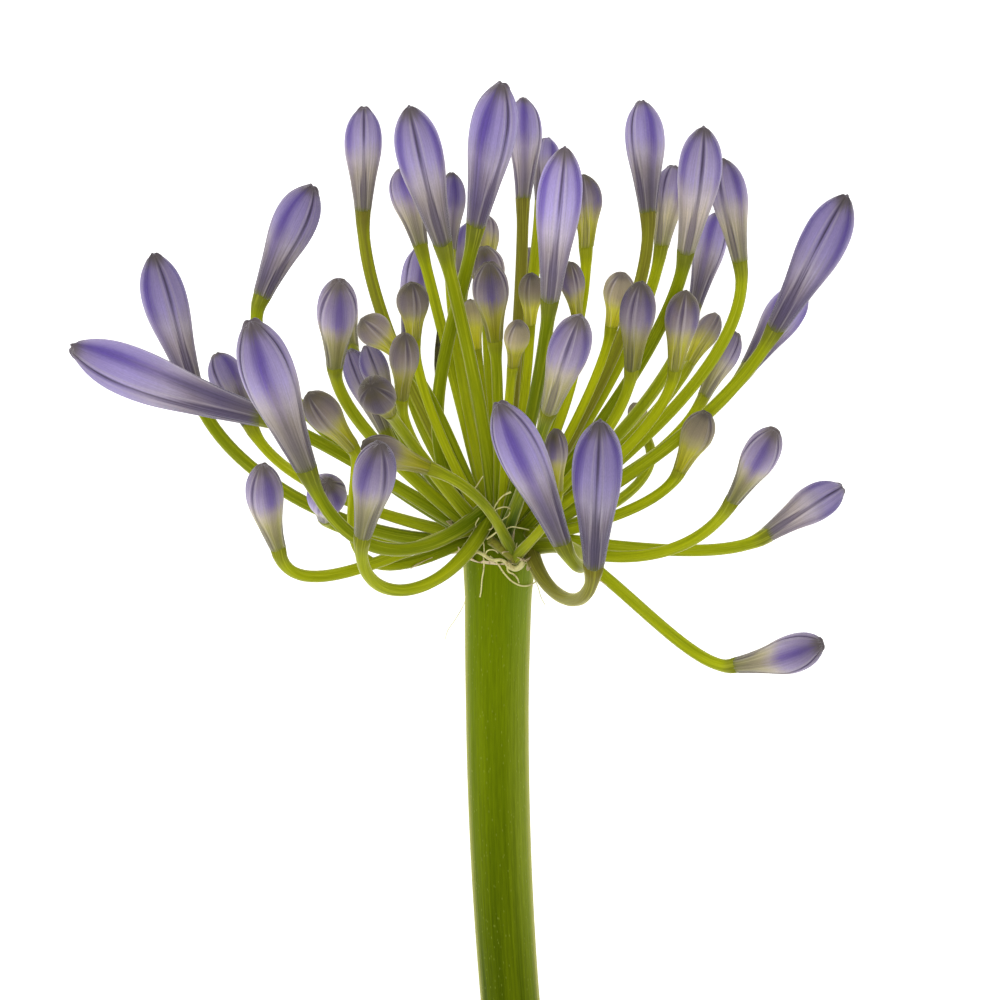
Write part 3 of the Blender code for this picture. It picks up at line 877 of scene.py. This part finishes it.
class FLOWER_OT_buds(bpy.types.Operator):
    """Models one ripe bud and lays a copy of it, shaped by its age, over every bud's solid"""

    bl_idname = "flower.buds"
    bl_label = "Closed Buds"

    def execute(self, context):
        settings = context.scene.flower_petals
        master = model_bud(settings.groove)
        shape = points_of(master.data)
        ripe_skin = petal_finish("Ripe petal skin", settings, 0.50, (0.92, 0.88, 1.0))
        young_skin = petal_finish("Young petal skin", settings, 0.22, (1.0, 0.95, 0.6))
        for bud in BUDS:
            ripe = bud.ripe >= RIPE_FROM
            piece = copy_of(master, f"closed_bud_{bud.number:02d}")
            place_bud(piece, bud, shape)
            piece.data.materials.append(ripe_skin if ripe else young_skin)
            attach(piece, BODY)
            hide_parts(f"bud_{bud.number:02d}")
        remove(master)
        return {"FINISHED"}


# Stalks

STALK_RINGS = 32
STALK_SIDES = 12
# Added to a bud's number for the draw of its stalk
STALK_SEEDS = 100
# A stalk widens over this length, by this power, to this share of its bud's half width, which
# falls as the bud ripens
FLARE = 0.0055
FLARE_POWER = 1.6
FOOT_SHARE = 0.45
FOOT_FALL = 0.03
# The root's swelling ends at one over this share of the stalk
ROOT_FADE = 3
# How brown a stalk is, by bud
RUSTY = {18: 0.9, 22: 0.75, 15: 0.64, 41: 0.85, 28: 0.3, 20: 0.15, 40: 0.35}
# How deep the green of a stalk is, by bud, where it differs from the usual
USUAL_DEPTH = 0.05
DEPTHS = {
    1: 0.30, 2: 0.30, 3: 0.35, 4: 0.35, 7: 0.20, 8: 0.50, 9: 0.25, 10: 0.30, 11: 0.10, 12: 0.42,
    14: 0.20, 16: 0.12, 17: 0.35, 19: 0.60, 20: -0.1, 22: 0.0, 23: 0.40, 24: -0.15, 26: 0.10,
    27: -0.1, 34: 0.20, 35: -0.1, 36: 0.25, 38: 0.20, 39: 0.35, 42: 0.70, 44: 0.20, 45: 0.45,
    46: 0.30, 47: 0.15, 50: -0.1, 51: 0.25, 52: 0.20, 53: 0.55, 55: -0.05, 56: 0.55, 58: 0.25,
    59: 0.42,
}


def model_stalk(ridge):
    """One straight stalk along Z, a metre long and two wide, with three soft ridges."""
    outline = [(ring / STALK_RINGS, 1.0) for ring in range(STALK_RINGS + 1)]
    piece = draw_rings("stalk_master", outline, 1.0, 2.0, STALK_SIDES)
    close_foot()
    bpy.ops.object.mode_set(mode="EDIT")
    pick(piece, lambda place: place.xy.length > 0.5 and petal_step(place, STALK_SIDES) == 0)
    bpy.ops.transform.resize(value=(1 + ridge, 1 + ridge, 1), center_override=(0, 0, 0))
    bpy.ops.object.mode_set(mode="OBJECT")
    make_active(piece)
    bpy.ops.object.shade_smooth()
    return piece


def stalk_radii(bud, shares, length):
    """Radius of a stalk, which widens into the foot of its bud."""
    young, grown = PEDICEL_WIDTHS
    radius = (young + (grown - young) * bud.ripe) / 2
    foot = max(bud.half_width * (FOOT_SHARE - FOOT_FALL * bud.ripe), radius)
    to_end = (1 - shares) * length
    flare = np.clip(1 - to_end / FLARE, 0, 1) ** FLARE_POWER
    swollen = radius * (1 + ROOT_SWELL * np.maximum(1 - ROOT_FADE * shares, 0))
    return swollen * (1 - flare) + foot * flare


def place_stalk(piece, bud, shape):
    """Bends a copy of the modelled stalk along the curve of one stalk."""
    shares = np.linspace(0, 1, STALK_RINGS + 1)
    spine, last_way = pedicel_curve(bud, shares)
    length = np.linalg.norm(np.diff(spine, axis=0), axis=1).sum()
    radii = stalk_radii(bud, shares, length)
    ways = np.gradient(spine, axis=0)
    ways[-1] = last_way
    side = np.array(Vector(ways[0]).orthogonal())
    sides = []
    for way in ways:
        forward = unit(way)
        side = unit(side - (side @ forward) * forward)
        sides.append((side, np.cross(forward, side)))
    sides = np.array(sides)
    ring = np.rint(shape[:, 2] * STALK_RINGS).astype(int)
    out = shape[:, :2] * radii[ring][:, None]
    places = spine[ring] + out[:, :1] * sides[ring, 0] + out[:, 1:] * sides[ring, 1]
    lay_points(piece.data, places)
    random_draw = random.Random(STALK_SEEDS + bud.number)
    angles = np.arctan2(shape[:, 1], shape[:, 0])
    give_points(piece.data, "skin", (np.cos(angles), np.sin(angles), shape[:, 2]))
    give_points(piece.data, "place", (shape[:, 2], DEPTHS.get(bud.number, USUAL_DEPTH)))
    nature = (bud.ripe, random_draw.random(), RUSTY.get(bud.number, 0.0))
    give_points(piece.data, "nature", nature)


class FLOWER_OT_stalks(bpy.types.Operator):
    """Models one stalk and bends a copy of it to every bud"""

    bl_idname = "flower.stalks"
    bl_label = "Flower Stalks"

    def execute(self, context):
        settings = context.scene.flower_stalks
        master = model_stalk(settings.ridge)
        shape = points_of(master.data)
        stalks = []
        for bud in BUDS:
            stalk = copy_of(master, f"stalk_{bud.number:02d}")
            place_stalk(stalk, bud, shape)
            stalks.append(stalk)
        remove(master)
        piece = join(stalks, "flower_stalks")
        piece.data.materials.append(stalk_finish(settings))
        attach(piece, BODY)
        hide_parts("scape")
        return {"FINISHED"}


# Stem

STEM_SIDES = 48
STEM_RINGS = 56
# Rounds in which the stem's slope, and the height of a point on it, are worked out
SLOPE_ROUNDS = 4
RISE_ROUNDS = 5
# Below 1, the rings crowd towards the top
STEM_CROWDING = 0.8
# The cut end: width of its rim, depth of its dish, and how far up its face reaches
CUT_RIM = 0.0007
CUT_DISH = 0.0003
CUT_FACE = 0.0006


def stem_slope():
    """Slope and length of the stem, which rests on the lower edge of its cut end."""
    flat_radius = SCAPE_WIDTH / 2 * SCAPE_TAPER * math.cos(math.pi / SCAPE_SIDES)
    fall = UMBEL_CENTRE.z - flat_radius
    for _ in range(SLOPE_ROUNDS):
        slope = math.atan2(fall, SCAPE_REACH)
        fall = UMBEL_CENTRE.z - flat_radius * math.cos(slope)
    return slope, SCAPE_REACH / math.cos(slope)


STEM_SLOPE, STEM_LENGTH = stem_slope()


def stem_aside(along):
    """Sideways place of the stem's middle at a distance below the umbel's centre."""
    down = np.maximum(-along, 0)
    return SCAPE_CURVE * down**2 + SCAPE_LEAN * down


def stem_radius(along):
    """Radius of the stem at a distance from the umbel's centre, with its dome."""
    radius = SCAPE_WIDTH / 2
    dome = RECEPTACLE_RADIUS
    rise = RECEPTACLE_RISE
    outline = (
        (-STEM_LENGTH, radius * SCAPE_TAPER), (-STEM_LENGTH * 0.75, radius * 0.95),
        (-STEM_LENGTH * 0.50, radius * 0.97), (-STEM_LENGTH * 0.28, radius * 0.99),
        (-dome * 1.6, radius * 1.04), (-dome * 0.8, radius * 1.11), (-dome * 0.25, dome),
        (rise * 0.35, dome * 0.94), (rise * 0.80, dome * 0.62), (rise, dome * 0.20),
    )
    return np.interp(along, *zip(*outline))


def stem_place(points):
    """Places of points that are given round a straight stem along Z."""
    along = points[:, 2]
    straight = np.stack((points[:, 0] + stem_aside(along), along, -points[:, 1]), axis=-1)
    turned = np.array(Matrix.Rotation(STEM_SLOPE, 3, "X"))
    return straight @ turned.T + np.array(UMBEL_CENTRE)


class FLOWER_OT_stem(bpy.types.Operator):
    """Models the flower stem with its domed top and its cut end"""

    bl_idname = "flower.stem"
    bl_label = "Flower Stem"

    def execute(self, context):
        dome = RECEPTACLE_RADIUS
        shares = np.linspace(0, 1, STEM_RINGS) ** STEM_CROWDING
        reach = STEM_LENGTH + RECEPTACLE_RISE
        stations = -STEM_LENGTH + shares * reach
        outline = [((s + STEM_LENGTH) / reach, stem_radius(s) / dome) for s in stations]
        piece = draw_rings("flower_stem", outline, reach, 2 * dome, STEM_SIDES)
        close_foot(CUT_RIM, -CUT_DISH)
        smoothed(piece)
        shape = points_of(piece.data)
        shape[:, 2] -= STEM_LENGTH
        angles = np.arctan2(shape[:, 1], shape[:, 0])
        core = np.hypot(shape[:, 0], shape[:, 1]) / stem_radius(shape[:, 2])
        core = np.where(shape[:, 2] < -STEM_LENGTH + CUT_FACE, core, 1.0)
        share = (shape[:, 2] + STEM_LENGTH) / STEM_LENGTH
        lay_points(piece.data, stem_place(shape))
        give_points(piece.data, "skin", (np.cos(angles), np.sin(angles), share))
        give_points(piece.data, "place", (share, core))
        piece.data.materials.append(stem_finish(context.scene.flower_stem))
        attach(piece, BODY)
        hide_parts("scape")
        return {"FINISHED"}


# Dry remains

COLLAR_SIDES = 72
COLLAR_ROWS = (0.0, 0.4, 0.75, 1.0)
COLLAR_FOOT = -0.0021
COLLAR_HEIGHT = 0.0012
COLLAR_THICKNESS = 0.00014
COLLAR_GAP = 0.00010
# Heights as shares of the collar's: between the flaps, at the least, and of the torn edge
COLLAR_REST = 0.35
COLLAR_LEAST = 0.12
TEAR = 0.16
TEAR_SEED = 7
TEAR_WAVES = (7, 13, 23, 31)
# Depth and number of the creases
CREASES = ((0.06, 19), (0.05, 41))
COLLAR_LEAN = 0.30
BULGE_END = 0.62
# Flaps of the collar: degrees round the stem from its right side, how much higher and how much
# farther out they stand, as shares of the collar's height, and their half width in radians
Flap = namedtuple("Flap", "degrees higher outer half")
COLLAR_FLAPS = (
    Flap(178, 3.4, 1.9, 0.40), Flap(208, 1.2, 0.8, 0.22), Flap(-2, 1.8, 1.6, 0.35),
    Flap(22, 1.0, 0.4, 0.22), Flap(88, 1.3, 0.3, 0.22), Flap(128, 0.9, 0.5, 0.22),
    Flap(60, 1.1, 0.3, 0.22),
)

# A dry thread: width as a share of a usual one, how much its end is swollen, and its points as
# pixels of the view from above and lifts over the upper side of the stem in mm
Strand = namedtuple("Strand", "width club points")
STRANDS = (
    Strand(0.9, 1.0, ((483.5, 556, 0.0), (484, 566, 0.5), (482, 580, 0.4), (481, 592, 0.2),
                      (480, 597, 0.1))),
    Strand(1.0, 0.8, ((490, 556, 0.0), (497, 563, 0.6), (504, 573, 0.5), (513, 582, 0.4),
                      (523, 586, 0.5), (532, 584, 0.9), (537, 581, 1.2))),
    Strand(1.0, 0.9, ((507, 564, 0.2), (508, 571, 0.8), (513, 574, 0.9), (517, 578, 0.5),
                      (519, 583, 0.2))),
    Strand(1.0, 3.2, ((487, 539, 2.6), (494, 534, 3.6), (499, 529, 4.4), (499, 524, 4.8),
                      (497, 520, 5.0))),
    Strand(0.8, 0.8, ((504, 533, 2.0), (511, 527, 3.8), (520, 528, 4.4), (529, 530, 4.2))),
    Strand(0.6, 1.0, ((483, 540, 2.4), (484, 546, 2.0), (484, 555, 0.8))),
    Strand(0.9, 1.0, ((485, 555, 0.6), (489, 550, 1.6), (494, 550, 1.6), (498, 553, 0.8))),
    Strand(2.2, 0.6, ((470, 559, 0.3), (477, 552, 0.9), (484, 555, 0.9), (492, 560, 0.7),
                      (501, 560, 0.8), (508, 564, 0.6), (514, 569, 0.6), (520, 568, 1.0),
                      (525, 563, 0.9))),
    Strand(1.1, 0.7, ((504, 552, 0.6), (507, 548, 1.6), (513, 545, 2.0))),
    Strand(1.1, 0.7, ((509, 557, 0.4), (512, 553, 1.4), (517, 549, 1.8))),
    Strand(1.1, 0.7, ((508, 560, 0.3), (512, 556, 1.3), (518, 557, 1.4))),
    Strand(0.45, 0.8, ((466, 596, 0.0), (464, 604, 0.1), (455, 620, 0.0), (448, 630, 0.0),
                       (445, 640, 0.0))),
    Strand(0.45, 0.8, ((534, 578, 0.1), (538, 587, 0.0), (541, 597, 0.0), (545, 605, 0.0))),
    Strand(0.7, 0.8, ((472, 494, 6.0), (476, 487, 8.0), (483, 476, 8.0))),
    Strand(0.7, 0.8, ((476, 527, 3.0), (476, 523, 4.6), (479, 518, 4.8))),
    Strand(0.8, 1.8, ((493, 512, 4.6), (497, 503, 6.4), (503, 496, 6.8), (511, 492, 6.6))),
    Strand(0.8, 1.4, ((493, 512, 4.6), (500, 508, 6.2), (505, 507, 6.2), (511, 509, 5.8))),
    Strand(3.6, 0.7, ((507, 563, 0.5), (512, 568, 0.7), (518, 568, 1.1), (523, 561, 1.6))),
    Strand(0.7, 0.8, ((499, 524, 5.0), (500, 532, 4.0), (503, 538, 2.6), (504, 545, 1.2))),
    Strand(0.6, 0.8, ((511, 509, 5.8), (508, 516, 5.0), (502, 520, 4.8))),
    Strand(0.6, 0.8, ((489, 530, 4.4), (493, 527, 4.8), (492, 522, 5.0), (495, 518, 5.0))),
    Strand(0.7, 0.8, ((505, 549, 1.2), (511, 551, 1.4), (516, 547, 1.8), (517, 543, 2.2))),
    Strand(0.5, 0.8, ((449, 548, 1.2), (440, 549, 1.6), (428, 552, 2.0), (415, 553, 2.0))),
    Strand(0.6, 0.8, ((529, 556, 1.0), (536, 553, 1.4), (541, 549, 1.8), (547, 548, 1.6))),
)
# The stalk that broke off near its root
STUB = Strand(5.8, 0.85, ((490, 540, 2.6), (497, 545, 2.0), (506, 552, 1.2), (514, 560, 0.5)))


# A small bract: the bud and the share of its stalk where it sits, degrees round the stalk from
# its upper side, length and width in mm, how far it leans away as a share of its length, and
# degrees that it is rolled about its own length
Bract = namedtuple("Bract", "bud share turn length width spread roll")
DARK_BRACTS = (
    Bract(17, 0.52, -95, 8.4, 1.6, 0.16, 70), Bract(49, 0.62, 90, 4.0, 1.2, 0.15, -60),
    Bract(15, 0.56, -90, 3.6, 1.4, 0.30, 70),
)
PAPER_BRACTS = (
    Bract(7, 0.05, 70, 4.2, 2.2, 0.25, -50), Bract(14, 0.10, -100, 4.6, 2.0, 0.30, 60),
    Bract(41, 0.06, 60, 3.8, 1.8, 0.35, -40), Bract(32, 0.27, 60, 5.2, 1.3, 0.10, -50),
    Bract(51, 0.05, 40, 3.0, 1.3, 0.40, -30), Bract(12, 0.04, -50, 3.2, 1.5, 0.45, 40),
)
# Bracts laid by a draw, with the ranges of all but their bud in the order above
SCATTERED_BRACTS = 18
SCATTER_SEED = 11
SCATTER = ((0.02, 0.10), (-180, 180), (2.5, 5.0), (0.8, 1.6), (0.2, 0.6), (-80, 80))
BRACT_SEAT = 0.8
BRACT_CURL = 1.5
BRACT_ROWS = 10
BRACT_COLUMNS = 4
BRACT_KEEL = 0.16
BRACT_THICKNESS = 0.00012
LANCE = ((0.0, 0.45), (0.1, 0.75), (0.3, 1.0), (0.6, 0.85), (0.85, 0.4), (1.0, 0.04))


def stem_top(pixel, lift):
    """Point over the upper side of the stem that is seen at a pixel of the view from above."""
    rise = 0.0
    for _ in range(RISE_ROUNDS):
        place = seen_at(pixel, rise) - UMBEL_CENTRE
        along = place.y * math.cos(STEM_SLOPE) + rise * math.sin(STEM_SLOPE)
        aside = place.x - stem_aside(along)
        half = math.sqrt(max(stem_radius(min(along, 0.0)) ** 2 - aside**2, 0.0))
        rise = (place.y * math.sin(STEM_SLOPE) + half) / math.cos(STEM_SLOPE) + lift * MM
    return seen_at(pixel, rise)


def draw_strand(strand, width):
    """One thread through its points, round in section and tapered or swollen at its end."""
    deselect_all()
    bpy.ops.curve.primitive_bezier_curve_add(location=(0, 0, 0))
    piece = bpy.context.object
    bpy.ops.object.mode_set(mode="EDIT")
    bpy.ops.curve.select_all(action="SELECT")
    bpy.ops.curve.subdivide(number_cuts=len(strand.points) - 2)
    bpy.ops.curve.handle_type_set(type="AUTOMATIC")
    bpy.ops.object.mode_set(mode="OBJECT")
    last = len(strand.points) - 1
    for index, (knot, spot) in enumerate(zip(piece.data.splines[0].bezier_points, strand.points)):
        knot.co = stem_top(spot[:2], spot[2])
        knot.radius = strand.club if index == last else 1.0
    piece.data.bevel_depth = width * strand.width / 2
    piece.data.bevel_resolution = 1
    piece.data.resolution_u = 5
    piece.data.use_fill_caps = True
    make_active(piece)
    bpy.ops.object.convert(target="MESH")
    bpy.ops.object.shade_smooth()
    return piece


class FLOWER_OT_threads(bpy.types.Operator):
    """Models the dry threads left among the stalks"""

    bl_idname = "flower.threads"
    bl_label = "Dry Threads"

    def execute(self, context):
        settings = context.scene.flower_remains
        piece = join([draw_strand(strand, settings.width) for strand in STRANDS], "dry_threads")
        brown = shown(186, 168, 110)
        piece.data.materials.append(dry_finish("Dry thread", settings.thread, brown))
        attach(piece, BODY)
        stub = draw_strand(STUB, settings.width)
        name_piece(stub, "broken_stalk")
        green, brown = shown(136, 136, 30), shown(96, 80, 24)
        stub.data.materials.append(dry_finish("Broken stalk", green, brown))
        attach(stub, BODY)
        return {"FINISHED"}


def model_bract():
    """One lance-shaped bract along Y, one long and one wide, keeled along its middle."""
    deselect_all()
    bpy.ops.mesh.primitive_grid_add(
        x_subdivisions=BRACT_COLUMNS, y_subdivisions=BRACT_ROWS, size=1, location=(0, 0, 0)
    )
    piece = bpy.context.object
    bpy.ops.object.mode_set(mode="EDIT")
    bpy.ops.mesh.select_all(action="SELECT")
    bpy.ops.transform.translate(value=(0, 0.5, 0))
    for row in range(BRACT_ROWS + 1):
        station = row / BRACT_ROWS
        share = float(np.interp(station, *zip(*LANCE)))
        pick(piece, lambda place: abs(place.y - station) < 0.01)
        bpy.ops.transform.resize(value=(share, 1, 1), center_override=(0, station, 0))
    pick(piece, lambda place: abs(place.x) < 0.01 and place.y < 0.95)
    bpy.ops.transform.translate(value=(0, 0, -BRACT_KEEL))
    bpy.ops.object.mode_set(mode="OBJECT")
    return smoothed(piece)


def place_bract(piece, bract, shape):
    """Lays a copy of the modelled bract on the side of a stalk, with its foot in the stalk."""
    bud = BUDS[bract.bud - 1]
    spine = pedicel_curve(bud, np.array((bract.share, bract.share + 0.05, 1.0)))[0]
    forward = unit(spine[1] - spine[0])
    over = unit(np.array((0.0, 0.0, 1.0)) - forward[2] * forward)
    across = np.cross(forward, over)
    turn = math.radians(bract.turn)
    out = math.cos(turn) * over + math.sin(turn) * across
    side = math.cos(turn) * across - math.sin(turn) * over
    roll = math.radians(bract.roll)
    face = math.cos(roll) * out + math.sin(roll) * side
    edge = math.cos(roll) * side - math.sin(roll) * out
    length = bract.length * MM
    width = bract.width * MM
    seat = BRACT_SEAT * PEDICEL_WIDTHS[0] / 2
    lift = seat + shape[:, 1] ** BRACT_CURL * bract.spread * length
    places = spine[0] + shape[:, 1:2] * length * forward + lift[:, None] * out
    lay_points(piece.data, places + shape[:, :1] * width * edge + shape[:, 2:] * width * face)


class FLOWER_OT_bracts(bpy.types.Operator):
    """Models one small bract and lays copies of it on the stalks"""

    bl_idname = "flower.bracts"
    bl_label = "Small Bracts"

    def execute(self, context):
        settings = context.scene.flower_remains
        master = model_bract()
        shape = points_of(master.data)
        draw = random.Random(SCATTER_SEED)
        scattered = [
            Bract(draw.randint(1, BUD_COUNT), *(draw.uniform(*span) for span in SCATTER))
            for _ in range(SCATTERED_BRACTS)
        ]
        papery = (*PAPER_BRACTS, *scattered)
        self.lay("papery_bracts", papery, master, shape, settings.paper, shown(170, 146, 92))
        self.lay("dark_bracts", DARK_BRACTS, master, shape, shown(70, 66, 26), shown(44, 40, 20))
        remove(master)
        return {"FINISHED"}

    def lay(self, name, bracts, master, shape, colour, brown):
        """Lays one kind of bract and joins them."""
        laid = []
        for index, bract in enumerate(bracts):
            piece = copy_of(master, f"{name}_{index:02d}")
            place_bract(piece, bract, shape)
            laid.append(piece)
        piece = walled(join(laid, name), BRACT_THICKNESS)
        piece.data.materials.append(dry_finish(name.replace("_", " "), colour, brown))
        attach(piece, BODY)


class FLOWER_OT_collar(bpy.types.Operator):
    """Models the torn papery collar where the bract came away"""

    bl_idname = "flower.collar"
    bl_label = "Papery Collar"

    def execute(self, context):
        settings = context.scene.flower_remains
        piece = self.draw_band()
        shape = points_of(piece.data)
        angles = np.arctan2(shape[:, 1], shape[:, 0])
        share = shape[:, 2]
        random_draw = random.Random(TEAR_SEED)
        height = np.full(len(share), COLLAR_REST)
        outer = np.zeros(len(share))
        for flap in COLLAR_FLAPS:
            gap = np.abs(np.angle(np.exp(1j * (angles - math.radians(flap.degrees)))))
            near = np.exp(-((gap / flap.half) ** 2))
            height += flap.higher * near
            outer += flap.outer * near
        for waves in TEAR_WAVES:
            height += TEAR * np.sin(waves * angles + random_draw.uniform(*ALL_ROUND))
        height = np.maximum(height, COLLAR_LEAST)
        along = COLLAR_FOOT + share * height * COLLAR_HEIGHT
        creased = sum(depth * np.sin(waves * angles) for depth, waves in CREASES)
        lift = COLLAR_GAP + share**1.5 * height * (COLLAR_LEAN + creased) * COLLAR_HEIGHT
        lift += np.sin(math.pi * share * BULGE_END) * outer * (1 + 2 * creased) * COLLAR_HEIGHT
        out = stem_radius(along) + lift
        places = np.stack((out * np.cos(angles), out * np.sin(angles), along), axis=-1)
        lay_points(piece.data, places)
        smoothed(walled(piece, COLLAR_THICKNESS, offset=1.0))
        lay_points(piece.data, stem_place(points_of(piece.data)))
        brown = shown(166, 132, 96)
        piece.data.materials.append(dry_finish("Torn paper", settings.paper, brown))
        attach(piece, BODY)
        return {"FINISHED"}

    def draw_band(self):
        """An open band one high and two wide, in rows that rise from its foot."""
        deselect_all()
        bpy.ops.mesh.primitive_circle_add(
            vertices=COLLAR_SIDES, radius=1, fill_type="NOTHING", location=(0, 0, 0)
        )
        piece = bpy.context.object
        name_piece(piece, "papery_collar")
        bpy.ops.object.mode_set(mode="EDIT")
        for low, high in zip(COLLAR_ROWS, COLLAR_ROWS[1:]):
            bpy.ops.mesh.extrude_region_move(TRANSFORM_OT_translate={"value": (0, 0, high - low)})
        bpy.ops.mesh.select_all(action="SELECT")
        bpy.ops.mesh.normals_make_consistent(inside=False)
        bpy.ops.object.mode_set(mode="OBJECT")
        return piece


# Stage

FLOOR_RADIUS = 4.0
FLOOR_SIDES = 96
# Each light's name, place, width, and power as a share of the key light's
LIGHTS = (
    ("Overhead", (0.0, 0.15, 1.1), 0.9, 1.0),
    ("Left window", (-0.9, 0.2, 0.55), 0.7, 0.30),
)
LIT_PLACE = Vector((0.0, 0.02, 0.04))
SENSOR_WIDTH = 36
PICTURE_WIDTH = 1000
NEAR_CLIP = 0.05
FAR_CLIP = 20


class FLOWER_OT_stage(bpy.types.Operator):
    """Makes the floor, the lights and the camera"""

    bl_idname = "flower.stage"
    bl_label = "Floor, Light and Camera"

    def execute(self, context):
        studio = context.scene.flower_studio
        self.make_floor(studio)
        for name, place, width, share in LIGHTS:
            self.make_light(name, place, width, studio.key * share)
        world = bpy.data.worlds.new("White room")
        world.use_nodes = True
        background = world.node_tree.nodes["Background"]
        background.inputs["Color"].default_value = (1, 1, 1, 1)
        background.inputs["Strength"].default_value = studio.sky
        context.scene.world = world
        context.scene.view_settings.view_transform = "Standard"
        self.make_camera(context)
        return {"FINISHED"}

    def make_floor(self, studio):
        deselect_all()
        bpy.ops.mesh.primitive_circle_add(
            vertices=FLOOR_SIDES, radius=FLOOR_RADIUS, fill_type="NGON"
        )
        floor = bpy.context.object
        floor.name = "pale_floor"
        finish = Finish("Pale floor", Roughness=0.8, Specular_IOR_Level=0.1)
        where = finish.add("ShaderNodeTexCoord", output=3)
        cloud = finish.noise(where, 6.0, 2.0)
        tone = finish.mix(cloud * 0.1, studio.floor, (1.0, 1.0, 1.0))
        finish.feed(finish.shader.inputs["Base Color"], tone)
        finish.shader.inputs["Emission Color"].default_value = (1, 1, 1, 1)
        finish.shader.inputs["Emission Strength"].default_value = studio.glow
        floor.data.materials.append(finish.material)

    def make_light(self, name, place, size, power):
        bpy.ops.object.light_add(type="AREA", location=place)
        light = bpy.context.object
        light.name = name
        light.data.shape = "DISK"
        light.data.size = size
        light.data.energy = power
        aim = LIT_PLACE - Vector(place)
        light.rotation_euler = aim.to_track_quat("-Z", "Y").to_euler()

    def make_camera(self, context):
        over = seen_at(PICTURE_CENTRE, 0.0)
        bpy.ops.object.camera_add(location=(over.x, over.y, UMBEL_CENTRE.z + EYE_HEIGHT))
        camera = bpy.context.object
        camera.name = "Camera above"
        camera.rotation_euler = (0, 0, 0)
        camera.data.sensor_width = SENSOR_WIDTH
        camera.data.lens = SENSOR_WIDTH * EYE_HEIGHT / (PICTURE_WIDTH * PIXEL)
        camera.data.clip_start = NEAR_CLIP
        camera.data.clip_end = FAR_CLIP
        context.scene.camera = camera


class FLOWER_PT_head(bpy.types.Panel):
    """Lists the pieces of the flower head and their settings"""

    bl_idname = "FLOWER_PT_head"
    bl_label = "Flower Head"
    bl_space_type = "VIEW_3D"
    bl_region_type = "UI"
    bl_category = "Flower Head"

    def draw(self, context):
        layout = self.layout
        for operator, settings in PIECES:
            box = layout.box()
            box.operator(operator.bl_idname)
            group = getattr(context.scene, settings)
            for name in group.__annotations__:
                box.prop(group, name)


PIECES = (
    (FLOWER_OT_stem, "flower_stem"),
    (FLOWER_OT_stalks, "flower_stalks"),
    (FLOWER_OT_buds, "flower_petals"),
    (FLOWER_OT_collar, "flower_remains"),
    (FLOWER_OT_threads, "flower_remains"),
    (FLOWER_OT_bracts, "flower_remains"),
    (FLOWER_OT_stage, "flower_studio"),
)
SETTINGS = {
    "flower_petals": PetalSettings,
    "flower_stalks": StalkSettings,
    "flower_stem": StemSettings,
    "flower_remains": RemainsSettings,
    "flower_studio": StudioSettings,
}
CLASSES = (*SETTINGS.values(), *(operator for operator, _ in PIECES), FLOWER_PT_head)


def register():
    for kind in CLASSES:
        bpy.utils.register_class(kind)
    for name, kind in SETTINGS.items():
        setattr(bpy.types.Scene, name, bpy.props.PointerProperty(type=kind))


def unregister():
    for name in SETTINGS:
        delattr(bpy.types.Scene, name)
    for kind in reversed(CLASSES):
        bpy.utils.unregister_class(kind)


def main():
    register()
    bpy.ops.flower.stem()
    bpy.ops.flower.stalks()
    bpy.ops.flower.buds()
    bpy.ops.flower.collar()
    bpy.ops.flower.threads()
    bpy.ops.flower.bracts()
    bpy.ops.flower.stage()


if __name__ == "__main__":
    main()
